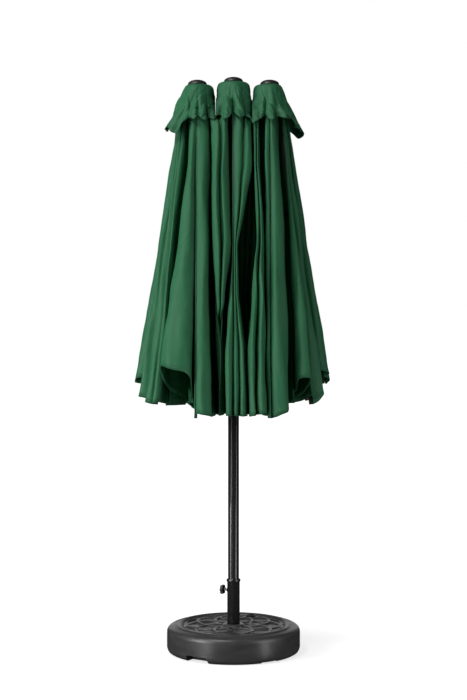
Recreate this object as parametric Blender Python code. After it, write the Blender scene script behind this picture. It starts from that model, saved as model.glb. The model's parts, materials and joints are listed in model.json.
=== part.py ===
"""Patio umbrella with base: a closed twin canopy on a crank mast, standing in a round weighted base.

The mast carries a centre hub. A pair of crossed bars on each side carries a second hub, so that
the canopy opens to a long oval. Every rib and bar turns by the same angle as the canopy opens,
because the ribs' brackets and struts are half as long as the crossed bars.
"""
import math

import bmesh
import bpy
from mathutils import Matrix, Vector

# ---- Driving dimensions, metres and radians -------------------------------------------------
CLEARANCE = 0.0003

BASE_RADIUS = 0.283
BASE_TOP = 0.113
BASE_SHOULDER = 0.024
BASE_SOLE_RADIUS = 0.268
BASE_RING = (0.228, 0.240)
BASE_BOSS_RADIUS = 0.045
SLEEVE_DEPTH = 0.020
GRIP_NOTCH = (0.056, 0.026)
FOOT_NOTCH = (0.045, 0.006)
SLEEVE_OUTER = 0.027
SLEEVE_TOP = 0.3055
SLEEVE_LIP = 0.030
CLAMP_HEIGHT = 0.256
CLAMP_AZIMUTH = math.radians(156)
CLAMP_KNOB_DISTANCE = 0.050
FILLER_POSITION = Vector((0.075, 0.180, 0.0))
FILLER_RADIUS = 0.022

MAST_RADIUS = 0.0235
MAST_WALL = 0.0018
MAST_JOINT_HEIGHT = 1.050
SPIGOT_LENGTH = 0.120
CRANK_HEIGHT = 1.190

HUB_HEIGHT = 2.385
HUB_SPACING = 0.154
SIDE_DROP = 0.012
PIVOT_RADIUS = 0.050
RIB_CLOSED = math.radians(8.07)
RIB_OPEN = math.radians(72.0)
RIB_FRONT = 1.383
RIB_DIAGONAL = 1.330
RIB_OUTWARD = 1.250

BAR_LENGTH = 1.050
BAR_CENTER_OFFSET = 0.040
BAR_SIDE_OFFSET = 0.030
BAR_DROP = 0.055
BAR_WIDTH = 0.018
BAR_THICKNESS = 0.007
BAR_LAYER = 0.0045

RIB_DEPTH = 0.018
RIB_WIDTH = 0.012
STRUT_SECTION = 0.010
TONGUE = 0.005
EAR_INNER = 0.0031
EAR_OUTER = 0.0062
PIN_RADIUS = 0.0025
PIN_HOLE = 0.0030
EYE_RADIUS = 0.008

PANEL_START = 0.135
PANEL_GAP = 0.0125
PANEL_THICKNESS = 0.003
PANEL_EDGE = 0.003
CENTER_EDGE = 0.0075
CAP_REACH_INNER = 0.074
CAP_REACH_OUTER = 0.128
CAP_DEPTH = 0.096
CAP_HEM_DROP = 0.122
FINIAL_BOTTOM = HUB_HEIGHT + 0.035
FINIAL_RADIUS = 0.038
FINIAL_HEIGHT = 0.022

ROUND = 32
BASE_ROUND = 40
SMALL_ROUND = 12
PIN_ROUND = 8

# ---- Worked out from the driving dimensions -------------------------------------------------
BAR_SPAN = HUB_SPACING - BAR_CENTER_OFFSET - BAR_SIDE_OFFSET
LINK_CLOSED = math.asin(BAR_SPAN / BAR_LENGTH)
LINK = BAR_LENGTH / 2
RUNNER_DROP = BAR_LENGTH * math.cos(LINK_CLOSED)
BRACKET_TILT = RIB_CLOSED - LINK_CLOSED
RUNNER_HEIGHT = HUB_HEIGHT - RUNNER_DROP
OPEN_TURN = RIB_OPEN - RIB_CLOSED
RUNNER_DROP_OPEN = BAR_LENGTH * math.cos(LINK_CLOSED + OPEN_TURN)

FABRIC_GREEN = (0.035, 0.135, 0.062)
STEEL_BLACK = (0.020, 0.020, 0.021)
PLASTIC_BLACK = (0.028, 0.028, 0.030)
BASE_CHARCOAL = (0.045, 0.046, 0.048)


# ---- Materials ------------------------------------------------------------------------------
def material(name, color, roughness, metallic=0.0):
    """A Principled material with one colour."""
    made = bpy.data.materials.new(name)
    made.use_nodes = True
    shader = made.node_tree.nodes["Principled BSDF"]
    shader.inputs["Base Color"].default_value = (*color, 1.0)
    shader.inputs["Roughness"].default_value = roughness
    shader.inputs["Metallic"].default_value = metallic
    made.diffuse_color = (*color, 1.0)
    return made


# ---- Shape helpers --------------------------------------------------------------------------
def temporary(fill):
    """A shape for a Boolean, filled by a function that takes an empty bmesh."""
    shape = bmesh.new()
    fill(shape)
    bmesh.ops.recalc_face_normals(shape, faces=shape.faces)
    mesh = bpy.data.meshes.new("shape")
    shape.to_mesh(mesh)
    shape.free()
    made = bpy.data.objects.new("shape", mesh)
    bpy.context.collection.objects.link(made)
    return made


def box(low, high):
    """A box between two corners."""
    def fill(shape):
        bmesh.ops.create_cube(shape, size=1.0)
        for vertex in shape.verts:
            vertex.co = [a + (b - a) * (c + 0.5) for a, b, c in zip(low, high, vertex.co)]
    return temporary(fill)


def rod(start, end, radius, segments=SMALL_ROUND):
    """A solid cylinder between two points."""
    start, end = Vector(start), Vector(end)
    turn = (end - start).to_track_quat("Z", "Y").to_matrix().to_4x4()

    def fill(shape):
        place = Matrix.Translation((start + end) / 2) @ turn
        bmesh.ops.create_cone(shape, cap_ends=True, segments=segments, radius1=radius,
                              radius2=radius, depth=(end - start).length, matrix=place)
    return temporary(fill)


def lathe(profile, segments=ROUND, closed=False):
    """A solid turned about Z from (radius, height) points; an open profile meets the axis."""
    def fill(shape):
        points = [shape.verts.new((radius, 0.0, height)) for radius, height in profile]
        edges = [shape.edges.new(pair) for pair in zip(points, points[1:])]
        if closed:
            edges.append(shape.edges.new((points[-1], points[0])))
        bmesh.ops.spin(shape, geom=points + edges, angle=2 * math.pi, steps=segments,
                       axis=(0, 0, 1), cent=(0, 0, 0), use_merge=True)
        bmesh.ops.remove_doubles(shape, verts=shape.verts, dist=1e-6)
    return temporary(fill)


def plate(outline, low, high):
    """An outline of (x, z) points as a plate between two values of y."""
    def fill(shape):
        face = shape.faces.new([shape.verts.new((x, low, z)) for x, z in outline])
        pushed = bmesh.ops.extrude_face_region(shape, geom=[face])["geom"]
        moved = [item for item in pushed if isinstance(item, bmesh.types.BMVert)]
        bmesh.ops.translate(shape, verts=moved, vec=(0, high - low, 0))
    return temporary(fill)


def combine(first, add=(), cut=()):
    """Join shapes to the first, cut others away, and return the mesh that is left."""
    for tool, operation in [(one, "UNION") for one in add] + [(one, "DIFFERENCE") for one in cut]:
        boolean = first.modifiers.new(operation.title(), "BOOLEAN")
        boolean.operation = operation
        boolean.solver = "EXACT"
        boolean.object = tool
    seen = first.evaluated_get(bpy.context.evaluated_depsgraph_get())
    mesh = bpy.data.meshes.new_from_object(seen)
    for shape in (first, *add, *cut):
        bpy.data.objects.remove(shape)
    return mesh


def turned(shape, matrix):
    """A temporary shape after its mesh is moved."""
    shape.data.transform(matrix)
    return shape


def place(name, mesh, paint, matrix=Matrix()):
    """A named piece of the umbrella."""
    if not mesh.materials:
        mesh.materials.append(paint)
    mesh.shade_smooth()
    mesh.set_sharp_from_angle(angle=math.radians(35))
    mesh.name = name
    made = bpy.data.objects.new(name, mesh)
    bpy.context.collection.objects.link(made)
    made.matrix_world = matrix
    return made


def about_z(angle):
    return Matrix.Rotation(angle, 4, "Z")


def about_y(angle):
    return Matrix.Rotation(angle, 4, "Y")


def arc(center, radius, start, end, steps):
    """Points on an arc about a centre, angles in degrees."""
    angles = [math.radians(start + (end - start) * step / steps) for step in range(steps + 1)]
    return [(center[0] + radius * math.cos(a), center[1] + radius * math.sin(a)) for a in angles]


# ---- Base -----------------------------------------------------------------------------------
def base_shell():
    """The round weighted body: rounded shoulder, ring on top, bore for the sleeve, notches."""
    bore = SLEEVE_OUTER + CLEARANCE
    ring_inner, ring_outer = BASE_RING
    floor, above = BASE_TOP - 0.004, 2 * BASE_TOP
    shoulder = arc((BASE_RADIUS - BASE_SHOULDER, 0.084), BASE_SHOULDER, 0, 80, 5)
    profile = [(0.0, 0.0), (BASE_SOLE_RADIUS, 0.0), (0.276, 0.004), (BASE_RADIUS, 0.020), *shoulder,
               (ring_outer + 0.007, BASE_TOP - 0.003), (ring_outer, BASE_TOP + 0.001),
               (ring_inner, BASE_TOP + 0.001), (ring_inner - 0.006, floor),
               (BASE_BOSS_RADIUS + 0.015, floor), (BASE_BOSS_RADIUS, BASE_TOP + 0.002),
               (0.0, BASE_TOP + 0.002)]
    filler = [FILLER_POSITION + Vector((0, 0, height)) for height in (0.080, above)]
    cuts = [rod((0, 0, SLEEVE_DEPTH), (0, 0, above), bore, ROUND),
            rod(*filler, FILLER_RADIUS - 0.006, 24)]
    for angle, (half_width, height) in ((237, GRIP_NOTCH), (57, GRIP_NOTCH),
                                        (303, FOOT_NOTCH), (123, FOOT_NOTCH)):
        notch = box((0.200, -half_width, -0.01), (0.300, half_width, height))
        cuts.append(turned(notch, about_z(math.radians(angle))))
    return combine(lathe(profile, BASE_ROUND), cut=cuts)


def base_sleeve():
    """The steel tube that holds the mast, with a rolled lip and a threaded boss for the clamp."""
    bore, low = MAST_RADIUS + 0.0008, SLEEVE_DEPTH + CLEARANCE
    profile = [(bore, low), (SLEEVE_OUTER, low), (SLEEVE_OUTER, SLEEVE_TOP - 0.013),
               (SLEEVE_LIP, SLEEVE_TOP - 0.010), (SLEEVE_LIP, SLEEVE_TOP - 0.003),
               (SLEEVE_LIP - 0.003, SLEEVE_TOP), (bore, SLEEVE_TOP)]
    outward = Vector((math.cos(CLAMP_AZIMUTH), math.sin(CLAMP_AZIMUTH), 0))
    center = Vector((0, 0, CLAMP_HEIGHT))
    boss = rod(center + outward * 0.0258, center + outward * 0.0300, 0.0085)
    hole = rod(center + outward * 0.0150, center + outward * 0.0400, 0.0045)
    return combine(lathe(profile, closed=True), add=[boss], cut=[hole])


def clamp_knob():
    """A six-lobed knob moulded on a threaded bolt that points along -X, towards the mast."""
    lobes, waist, crown = 6, 0.0165, 0.0210

    def fill(shape):
        count = lobes * 4
        rings = []
        for x, scale in ((-0.006, 0.82), (-0.004, 1.0), (0.005, 1.0), (0.008, 0.80)):
            ring = []
            for step in range(count):
                angle = 2 * math.pi * step / count
                radius = waist + (crown - waist) * (0.5 + 0.5 * math.cos(lobes * angle))
                ring.append(shape.verts.new((x, radius * scale * math.cos(angle),
                                             radius * scale * math.sin(angle))))
            rings.append(ring)
        for low, high in zip(rings, rings[1:]):
            for step in range(count):
                after = (step + 1) % count
                shape.faces.new((low[step], low[after], high[after], high[step]))
        shape.faces.new(rings[0][::-1])
        shape.faces.new(rings[-1])
    neck = rod((-0.011, 0, 0), (0, 0, 0), 0.0075)
    bolt = rod((-CLAMP_KNOB_DISTANCE + 0.0247, 0, 0), (-0.005, 0, 0), 0.0040)
    return combine(temporary(fill), add=[neck, bolt])


def filler_cap():
    """The screw cap of the filling hole, with a plug below and a finger bar on top."""
    profile = [(0.0, -0.014), (FILLER_RADIUS - 0.0065, -0.014), (FILLER_RADIUS - 0.0065, 0.0),
               (FILLER_RADIUS, 0.0), (FILLER_RADIUS, 0.004), (FILLER_RADIUS - 0.003, 0.006),
               (0.0, 0.006)]
    bar = box((-0.014, -0.003, 0.004), (0.014, 0.003, 0.010))
    return combine(lathe(profile, 20), add=[bar])


# ---- Mast and crank -------------------------------------------------------------------------
def mast_lower():
    """The lower mast tube with the narrow spigot that the upper tube slides over."""
    inner, spigot = MAST_RADIUS - MAST_WALL, MAST_RADIUS - MAST_WALL - 0.0006
    low, top = SLEEVE_DEPTH + 0.0007, MAST_JOINT_HEIGHT
    profile = [(inner, low), (MAST_RADIUS, low), (MAST_RADIUS, top), (spigot, top),
               (spigot, top + SPIGOT_LENGTH), (spigot - MAST_WALL, top + SPIGOT_LENGTH),
               (spigot - MAST_WALL, top - 0.006), (inner, top - 0.012)]
    return combine(lathe(profile, closed=True))


def mast_upper():
    """The upper mast tube, from the joint to the centre hub."""
    inner, low, high = MAST_RADIUS - MAST_WALL, MAST_JOINT_HEIGHT + CLEARANCE, HUB_HEIGHT + 0.012
    profile = [(inner, low), (MAST_RADIUS, low), (MAST_RADIUS, high), (inner, high)]
    return combine(lathe(profile, closed=True))


def crank_housing():
    """The winch case around the mast, with a bearing boss at the front."""
    corner, width, front, back = 0.014, 0.036, -0.046, 0.036
    outline = []
    for x, y, start in ((width, front, -90), (width, back, 0), (-width, back, 90),
                        (-width, front, 180)):
        center = (x - math.copysign(corner, x), y - math.copysign(corner, y))
        outline += arc(center, corner, start, start + 90, 4)
    case = turned(plate(outline, -0.060, 0.060), Matrix.Rotation(math.radians(-90), 4, "X"))
    boss = rod((0, front + 0.002, 0), (0, front - 0.010, 0), 0.019, 24)
    bore = rod((0, 0, -0.1), (0, 0, 0.1), MAST_RADIUS + CLEARANCE, ROUND)
    shaft = rod((0, front + 0.010, 0), (0, front - 0.020, 0), 0.0064)
    return combine(case, add=[boss], cut=[bore, shaft])


def crank_handle():
    """The crank: shaft, flat arm and turned grip; it turns about Y and hangs down."""
    front = -0.046
    shaft = rod((0, front + 0.009, 0), (0, front - 0.016, 0), 0.0060)
    reach = 0.078
    ends = arc((0, 0), 0.011, 0, 180, 8) + arc((0, -reach), 0.009, 180, 360, 8)
    arm = plate(ends, front - 0.022, front - 0.0145)
    profile = [(0.0, 0.0), (0.009, 0.0), (0.0125, 0.010), (0.0135, 0.034), (0.010, 0.044),
               (0.0, 0.046)]
    forward = Matrix.Translation((0, front - 0.020, -reach)) @ Matrix.Rotation(
        math.radians(90), 4, "X")
    grip = turned(lathe(profile, 16), forward)
    return combine(arm, add=[shaft, grip])


# ---- Hubs and runners -----------------------------------------------------------------------
def clevis(radius, azimuth, inner):
    """Two ears and their pin, at a radius and azimuth about Z, rooted at an inner radius."""
    ears = [box((inner, low, -EYE_RADIUS), (radius + 0.007, high, EYE_RADIUS))
            for low, high in ((EAR_INNER, EAR_OUTER), (-EAR_OUTER, -EAR_INNER))]
    pin = rod((radius, -EAR_OUTER, 0), (radius, EAR_OUTER, 0), PIN_RADIUS, PIN_ROUND)
    return [turned(one, about_z(azimuth)) for one in (*ears, pin)]


def lug(offset, side, inner, drop, azimuth=0.0):
    """A plate and headed pin that carry a crossed bar; side is the layer that the bar is in."""
    plate_low, plate_high = sorted((0.0, -side * 0.008))
    tab = box((inner, plate_low, -drop - 0.009), (offset + 0.008, plate_high, -0.020))
    pin = rod((offset, -side * 0.004, -drop), (offset, side * 0.0100, -drop), 0.0040)
    head = rod((offset, side * 0.0086, -drop), (offset, side * 0.0115, -drop), 0.0065)
    return [turned(one, about_z(azimuth)) for one in (tab, pin, head)]


def hub_center():
    """The cap of the mast, with a clevis front and back and a lug on each side."""
    bore, inner_top = MAST_RADIUS + CLEARANCE, 0.0123
    profile = [(bore, -0.028), (0.032, -0.028), (0.036, -0.014), (0.036, 0.010), (0.028, 0.020),
               (0.0, 0.020), (0.0, inner_top), (bore, inner_top)]
    added = []
    for azimuth in (math.radians(90), math.radians(-90)):
        added += clevis(PIVOT_RADIUS, azimuth, 0.033)
    for azimuth in (0.0, math.pi):
        added += lug(BAR_CENTER_OFFSET, -1, 0.027, BAR_DROP, azimuth)
    return combine(lathe(profile, closed=True), add=added)


def runner_center():
    """The sliding collar on the mast, with a clevis front and back and a lug on each side."""
    bore, outer = MAST_RADIUS + 0.0009, 0.0295
    profile = [(bore, -0.030), (outer, -0.030), (outer, 0.015), (bore, 0.015)]
    added = []
    for azimuth in (math.radians(90), math.radians(-90)):
        added += clevis(PIVOT_RADIUS, azimuth, 0.0270)
    for azimuth in (0.0, math.pi):
        added += lug(BAR_CENTER_OFFSET, 1, 0.0270, BAR_DROP, azimuth)
    return combine(lathe(profile, closed=True), add=added)


SIDE_RIB_ANGLES = [math.radians(angle) for angle in (-90, -45, 0, 45, 90)]
POST_RADIUS = 0.014


def hub_side():
    """A side hub with its guide post, in a frame with +X pointing away from the mast."""
    post_end = -RUNNER_DROP_OPEN - 0.040
    profile = [(0.0, post_end), (POST_RADIUS, post_end), (POST_RADIUS, -0.028), (0.032, -0.028),
               (0.036, -0.014), (0.036, 0.010), (0.028, 0.020), (0.0, 0.020)]
    added = [one for azimuth in SIDE_RIB_ANGLES for one in clevis(PIVOT_RADIUS, azimuth, 0.033)]
    added += lug(BAR_SIDE_OFFSET, -1, 0.010, BAR_DROP - SIDE_DROP, math.pi)
    return combine(lathe(profile), add=added)


def runner_side():
    """The side runner: a collar with five clevises and one lug."""
    bore, outer = POST_RADIUS + 0.0009, 0.0205
    profile = [(bore, -0.030), (outer, -0.030), (outer, 0.015), (bore, 0.015)]
    added = [one for azimuth in SIDE_RIB_ANGLES for one in clevis(PIVOT_RADIUS, azimuth, 0.018)]
    added += lug(BAR_SIDE_OFFSET, 1, 0.018, BAR_DROP - SIDE_DROP, math.pi)
    return combine(lathe(profile, closed=True), add=added)


def finial():
    """The domed black cap that holds the fabric down, with its stem."""
    profile = [(0.0, -0.0147), (0.006, -0.0147), (0.006, 0.0), (FINIAL_RADIUS - 0.002, 0.0),
               (FINIAL_RADIUS, 0.003)]
    dome = [(FINIAL_RADIUS * math.cos(math.radians(a)),
             0.003 + (FINIAL_HEIGHT - 0.003) * math.sin(math.radians(a)))
            for a in range(15, 90, 15)]
    return combine(lathe([*profile, *dome, (0.0, FINIAL_HEIGHT)], 16))


# ---- Ribs, struts and crossed bars ----------------------------------------------------------
def rib(length):
    """A rib that hangs along -Z from its pivot, its outer side towards +X."""
    half, width, chamfer = RIB_DEPTH / 2, RIB_WIDTH / 2, 0.003
    section = [(half, width - chamfer), (half - chamfer, width), (chamfer - half, width),
               (-half, width - chamfer), (-half, chamfer - width), (chamfer - half, -width),
               (half - chamfer, -width), (half, chamfer - width)]

    def fill(shape):
        rings = [[shape.verts.new((x, y, z)) for x, y in section] for z in (-length, -0.016)]
        for step in range(len(section)):
            after = (step + 1) % len(section)
            shape.faces.new((rings[0][step], rings[0][after], rings[1][after], rings[1][step]))
        shape.faces.new(rings[0][::-1])
        shape.faces.new(rings[1])
    eye = plate(arc((0, 0), EYE_RADIUS, 0, 180, 6) + [(-EYE_RADIUS, -0.020), (EYE_RADIUS, -0.020)],
                -TONGUE / 2, TONGUE / 2)
    x, z = -LINK * math.sin(BRACKET_TILT), -LINK * math.cos(BRACKET_TILT)
    outline = [(-half + 0.002, z + 0.016), (x, z + 0.007), (x - 0.007, z + 0.003),
               (x - 0.007, z - 0.003), (x, z - 0.007), (-half + 0.002, z - 0.016)]
    ears = [plate(outline, low, high)
            for low, high in ((EAR_INNER, width - 0.0002), (0.0002 - width, -EAR_INNER))]
    pin = rod((x, 0.0002 - width, z), (x, width - 0.0002, z), PIN_RADIUS, PIN_ROUND)
    hole = rod((0, -0.01, 0), (0, 0.01, 0), PIN_HOLE, PIN_ROUND)
    return combine(temporary(fill), add=[eye, *ears, pin], cut=[hole])


def strut():
    """A strut that hangs along -Z, with an eye at each end."""
    half = STRUT_SECTION / 2
    body = box((-half, -half, 0.014 - LINK), (half, half, -0.014))
    outline = (arc((0, 0), 0.0065, 0, 180, 6)
               + [(-0.0065, -0.020), (0.0065, -0.020)])
    top = plate(outline, -TONGUE / 2, TONGUE / 2)
    bottom = turned(plate(outline, -TONGUE / 2, TONGUE / 2),
                    Matrix.Translation((0, 0, -LINK)) @ about_y(math.pi))
    holes = [rod((0, -0.01, z), (0, 0.01, z), PIN_HOLE, PIN_ROUND) for z in (0.0, -LINK)]
    return combine(body, add=[top, bottom], cut=holes)


def bar(side, pinned):
    """A crossed bar that hangs along -Z from its upper eye; one of a pair holds their pin."""
    half = BAR_WIDTH / 2
    outline = arc((0, 0), half, 0, 180, 6) + arc((0, -BAR_LENGTH), half, 180, 360, 6)
    low, high = (side * BAR_LAYER + sign * BAR_THICKNESS / 2 for sign in (-1, 1))
    eyes = [rod((0, -0.02, z), (0, 0.02, z), 0.0045) for z in (0.0, -BAR_LENGTH)]
    blade = plate(outline, low, high)
    if not pinned:
        eyes.append(rod((0, -0.02, -LINK), (0, 0.02, -LINK), 0.0045))
        return combine(blade, cut=eyes)
    pin = rod((0, side * BAR_LAYER, -LINK), (0, -side * 0.0100, -LINK), 0.0040)
    head = rod((0, -side * 0.0086, -LINK), (0, -side * 0.0115, -LINK), 0.0065)
    return combine(blade, add=[pin, head], cut=eyes)


# ---- Canopy ---------------------------------------------------------------------------------
def shell(rows):
    """A closed sheet from rows of (inner, outer) point pairs, all rows equally long."""
    def fill(shape):
        inner = [[shape.verts.new(a) for a, _ in row] for row in rows]
        outer = [[shape.verts.new(b) for _, b in row] for row in rows]
        last_row, last = len(rows) - 1, len(rows[0]) - 1
        for r in range(last_row):
            for c in range(last):
                for grid in (inner, outer):
                    shape.faces.new((grid[r][c], grid[r][c + 1], grid[r + 1][c + 1],
                                     grid[r + 1][c]))
            for c in (0, last):
                shape.faces.new((inner[r][c], inner[r + 1][c], outer[r + 1][c], outer[r][c]))
        for r in (0, last_row):
            for c in range(last):
                shape.faces.new((inner[r][c], inner[r][c + 1], outer[r][c + 1], outer[r][c]))
    return temporary(fill)


def end_panel(first_angle, last_angle, first_length, last_length):
    """A canopy panel between two ribs of one side hub, just outside them; +X is outward."""
    columns = 5
    rows = []
    for row in range(2):
        pairs = []
        for column in range(columns):
            share = column / (columns - 1)
            length = first_length + (last_length - first_length) * share
            distance = PANEL_START if row == 0 else length
            pair = []
            for gap in (PANEL_GAP, PANEL_GAP + PANEL_THICKNESS):
                radius = (PIVOT_RADIUS + distance * math.sin(RIB_CLOSED)
                          + gap * math.cos(RIB_CLOSED))
                height = gap * math.sin(RIB_CLOSED) - distance * math.cos(RIB_CLOSED)
                low, high = first_angle + PANEL_EDGE / radius, last_angle - PANEL_EDGE / radius
                angle = low + (high - low) * share
                pair.append((radius * math.cos(angle), radius * math.sin(angle), height))
            pairs.append(pair)
        rows.append(pairs)
    return combine(shell(rows))


LONG_PANELS = {1: (1, -1), 6: (1, 1), 7: (-1, 1), 12: (-1, -1)}


def long_panel(toward, outward):
    """A flat panel from the centre hub's rib to a side hub's rib, at the front or the back.

    It ends beside the centre rib, because it passes close to that rib's flank as the canopy opens.
    """
    rows = []
    for distance in (PANEL_START, RIB_FRONT):
        pairs = []
        for x, drop in ((CENTER_EDGE, 0.0), (HUB_SPACING - PANEL_EDGE, SIDE_DROP)):
            pair = []
            for gap in (PANEL_GAP, PANEL_GAP + PANEL_THICKNESS):
                radius = (PIVOT_RADIUS + distance * math.sin(RIB_CLOSED)
                          + gap * math.cos(RIB_CLOSED))
                height = gap * math.sin(RIB_CLOSED) - distance * math.cos(RIB_CLOSED) - drop
                pair.append((x * toward, radius * outward, height))
            pairs.append(pair)
        rows.append(pairs)
    return combine(shell(rows))


def vent_cap(inward, outward):
    """The fabric hood over a hub, from its reach towards -X and +X; z=0 is the rib pivots."""
    columns, sheet = 20, 0.0025
    crown = FINIAL_BOTTOM - CLEARANCE - HUB_HEIGHT
    outer = [(0.009, 0.009, 0.009, crown), (0.044, 0.044, 0.044, crown - 0.004),
             (0.055, 0.060, 0.068, crown - 0.022), (inward, outward, CAP_DEPTH, -CAP_HEM_DROP)]
    inner = [(0.009, 0.009, 0.009, crown - sheet), (0.043, 0.043, 0.043, crown - 0.004 - sheet)]
    inner += [(back - sheet, front - sheet, side - sheet, height)
              for back, front, side, height in outer[2:]]

    def fill(shape):
        layers = []
        for back, front, side, height in outer + inner[::-1]:
            angles = [2 * math.pi * column / columns for column in range(columns)]
            layers.append([shape.verts.new(((front if math.cos(a) > 0 else back) * math.cos(a),
                                            side * math.sin(a), height)) for a in angles])
        for step, ring in enumerate(layers):
            after = layers[(step + 1) % len(layers)]
            for column in range(columns):
                beside = (column + 1) % columns
                shape.faces.new((ring[column], ring[beside], after[beside], after[column]))
    return combine(temporary(fill))


# ---- Assembly -------------------------------------------------------------------------------
def side_frame(turn):
    """The frame of one half: origin at the mast's hub, +X towards the side hub."""
    return Matrix.Translation((0, 0, HUB_HEIGHT)) @ about_z(turn)


def rib_list():
    """Every rib in order round the canopy from the front: hub frame, azimuth and length."""
    right, left = side_frame(0.0), side_frame(math.pi)
    lengths = (RIB_FRONT, RIB_DIAGONAL, RIB_OUTWARD, RIB_DIAGONAL, RIB_FRONT)
    ribs = []
    for half in (right, left):
        ribs.append((half, SIDE_RIB_ANGLES[0], RIB_FRONT))
        side = half @ Matrix.Translation((HUB_SPACING, 0, -SIDE_DROP))
        ribs += [(side, angle, length) for angle, length in zip(SIDE_RIB_ANGLES, lengths)]
    return ribs


def hinge_axis_frame():
    """The line that a panel turns about as it follows the next rib, in the first rib's frame.

    The two ribs mirror each other across the plane halfway between them. The panel's turn is
    the product of two mirrorings, so its axis is the line where that plane meets its image
    carried back by the first rib's own turn.
    """
    half_angle = math.radians(22.5)
    pivot = Vector((PIVOT_RADIUS, 0, 0))
    back = Matrix.Translation(pivot) @ about_y(OPEN_TURN) @ Matrix.Translation(-pivot)
    normal = Vector((-math.sin(half_angle), math.cos(half_angle), 0))
    image = back.to_3x3() @ normal
    image_point = back @ Vector((0, 0, 0))
    line = normal.cross(image).normalized()
    rows = Matrix((normal, image, line))
    point = rows.inverted() @ Vector((0, image.dot(image_point), 0))
    return point, line


def empty(name, matrix):
    """A frame that a moving piece is parented to."""
    made = bpy.data.objects.new(name, None)
    bpy.context.collection.objects.link(made)
    made.empty_display_size = 0.05
    made.matrix_world = matrix
    return made


def attach(piece, parent):
    """Parent a piece without moving it."""
    matrix = piece.matrix_world.copy()
    bpy.context.view_layer.update()
    piece.parent = parent
    piece.matrix_parent_inverse = parent.matrix_world.inverted()
    piece.matrix_world = matrix


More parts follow.
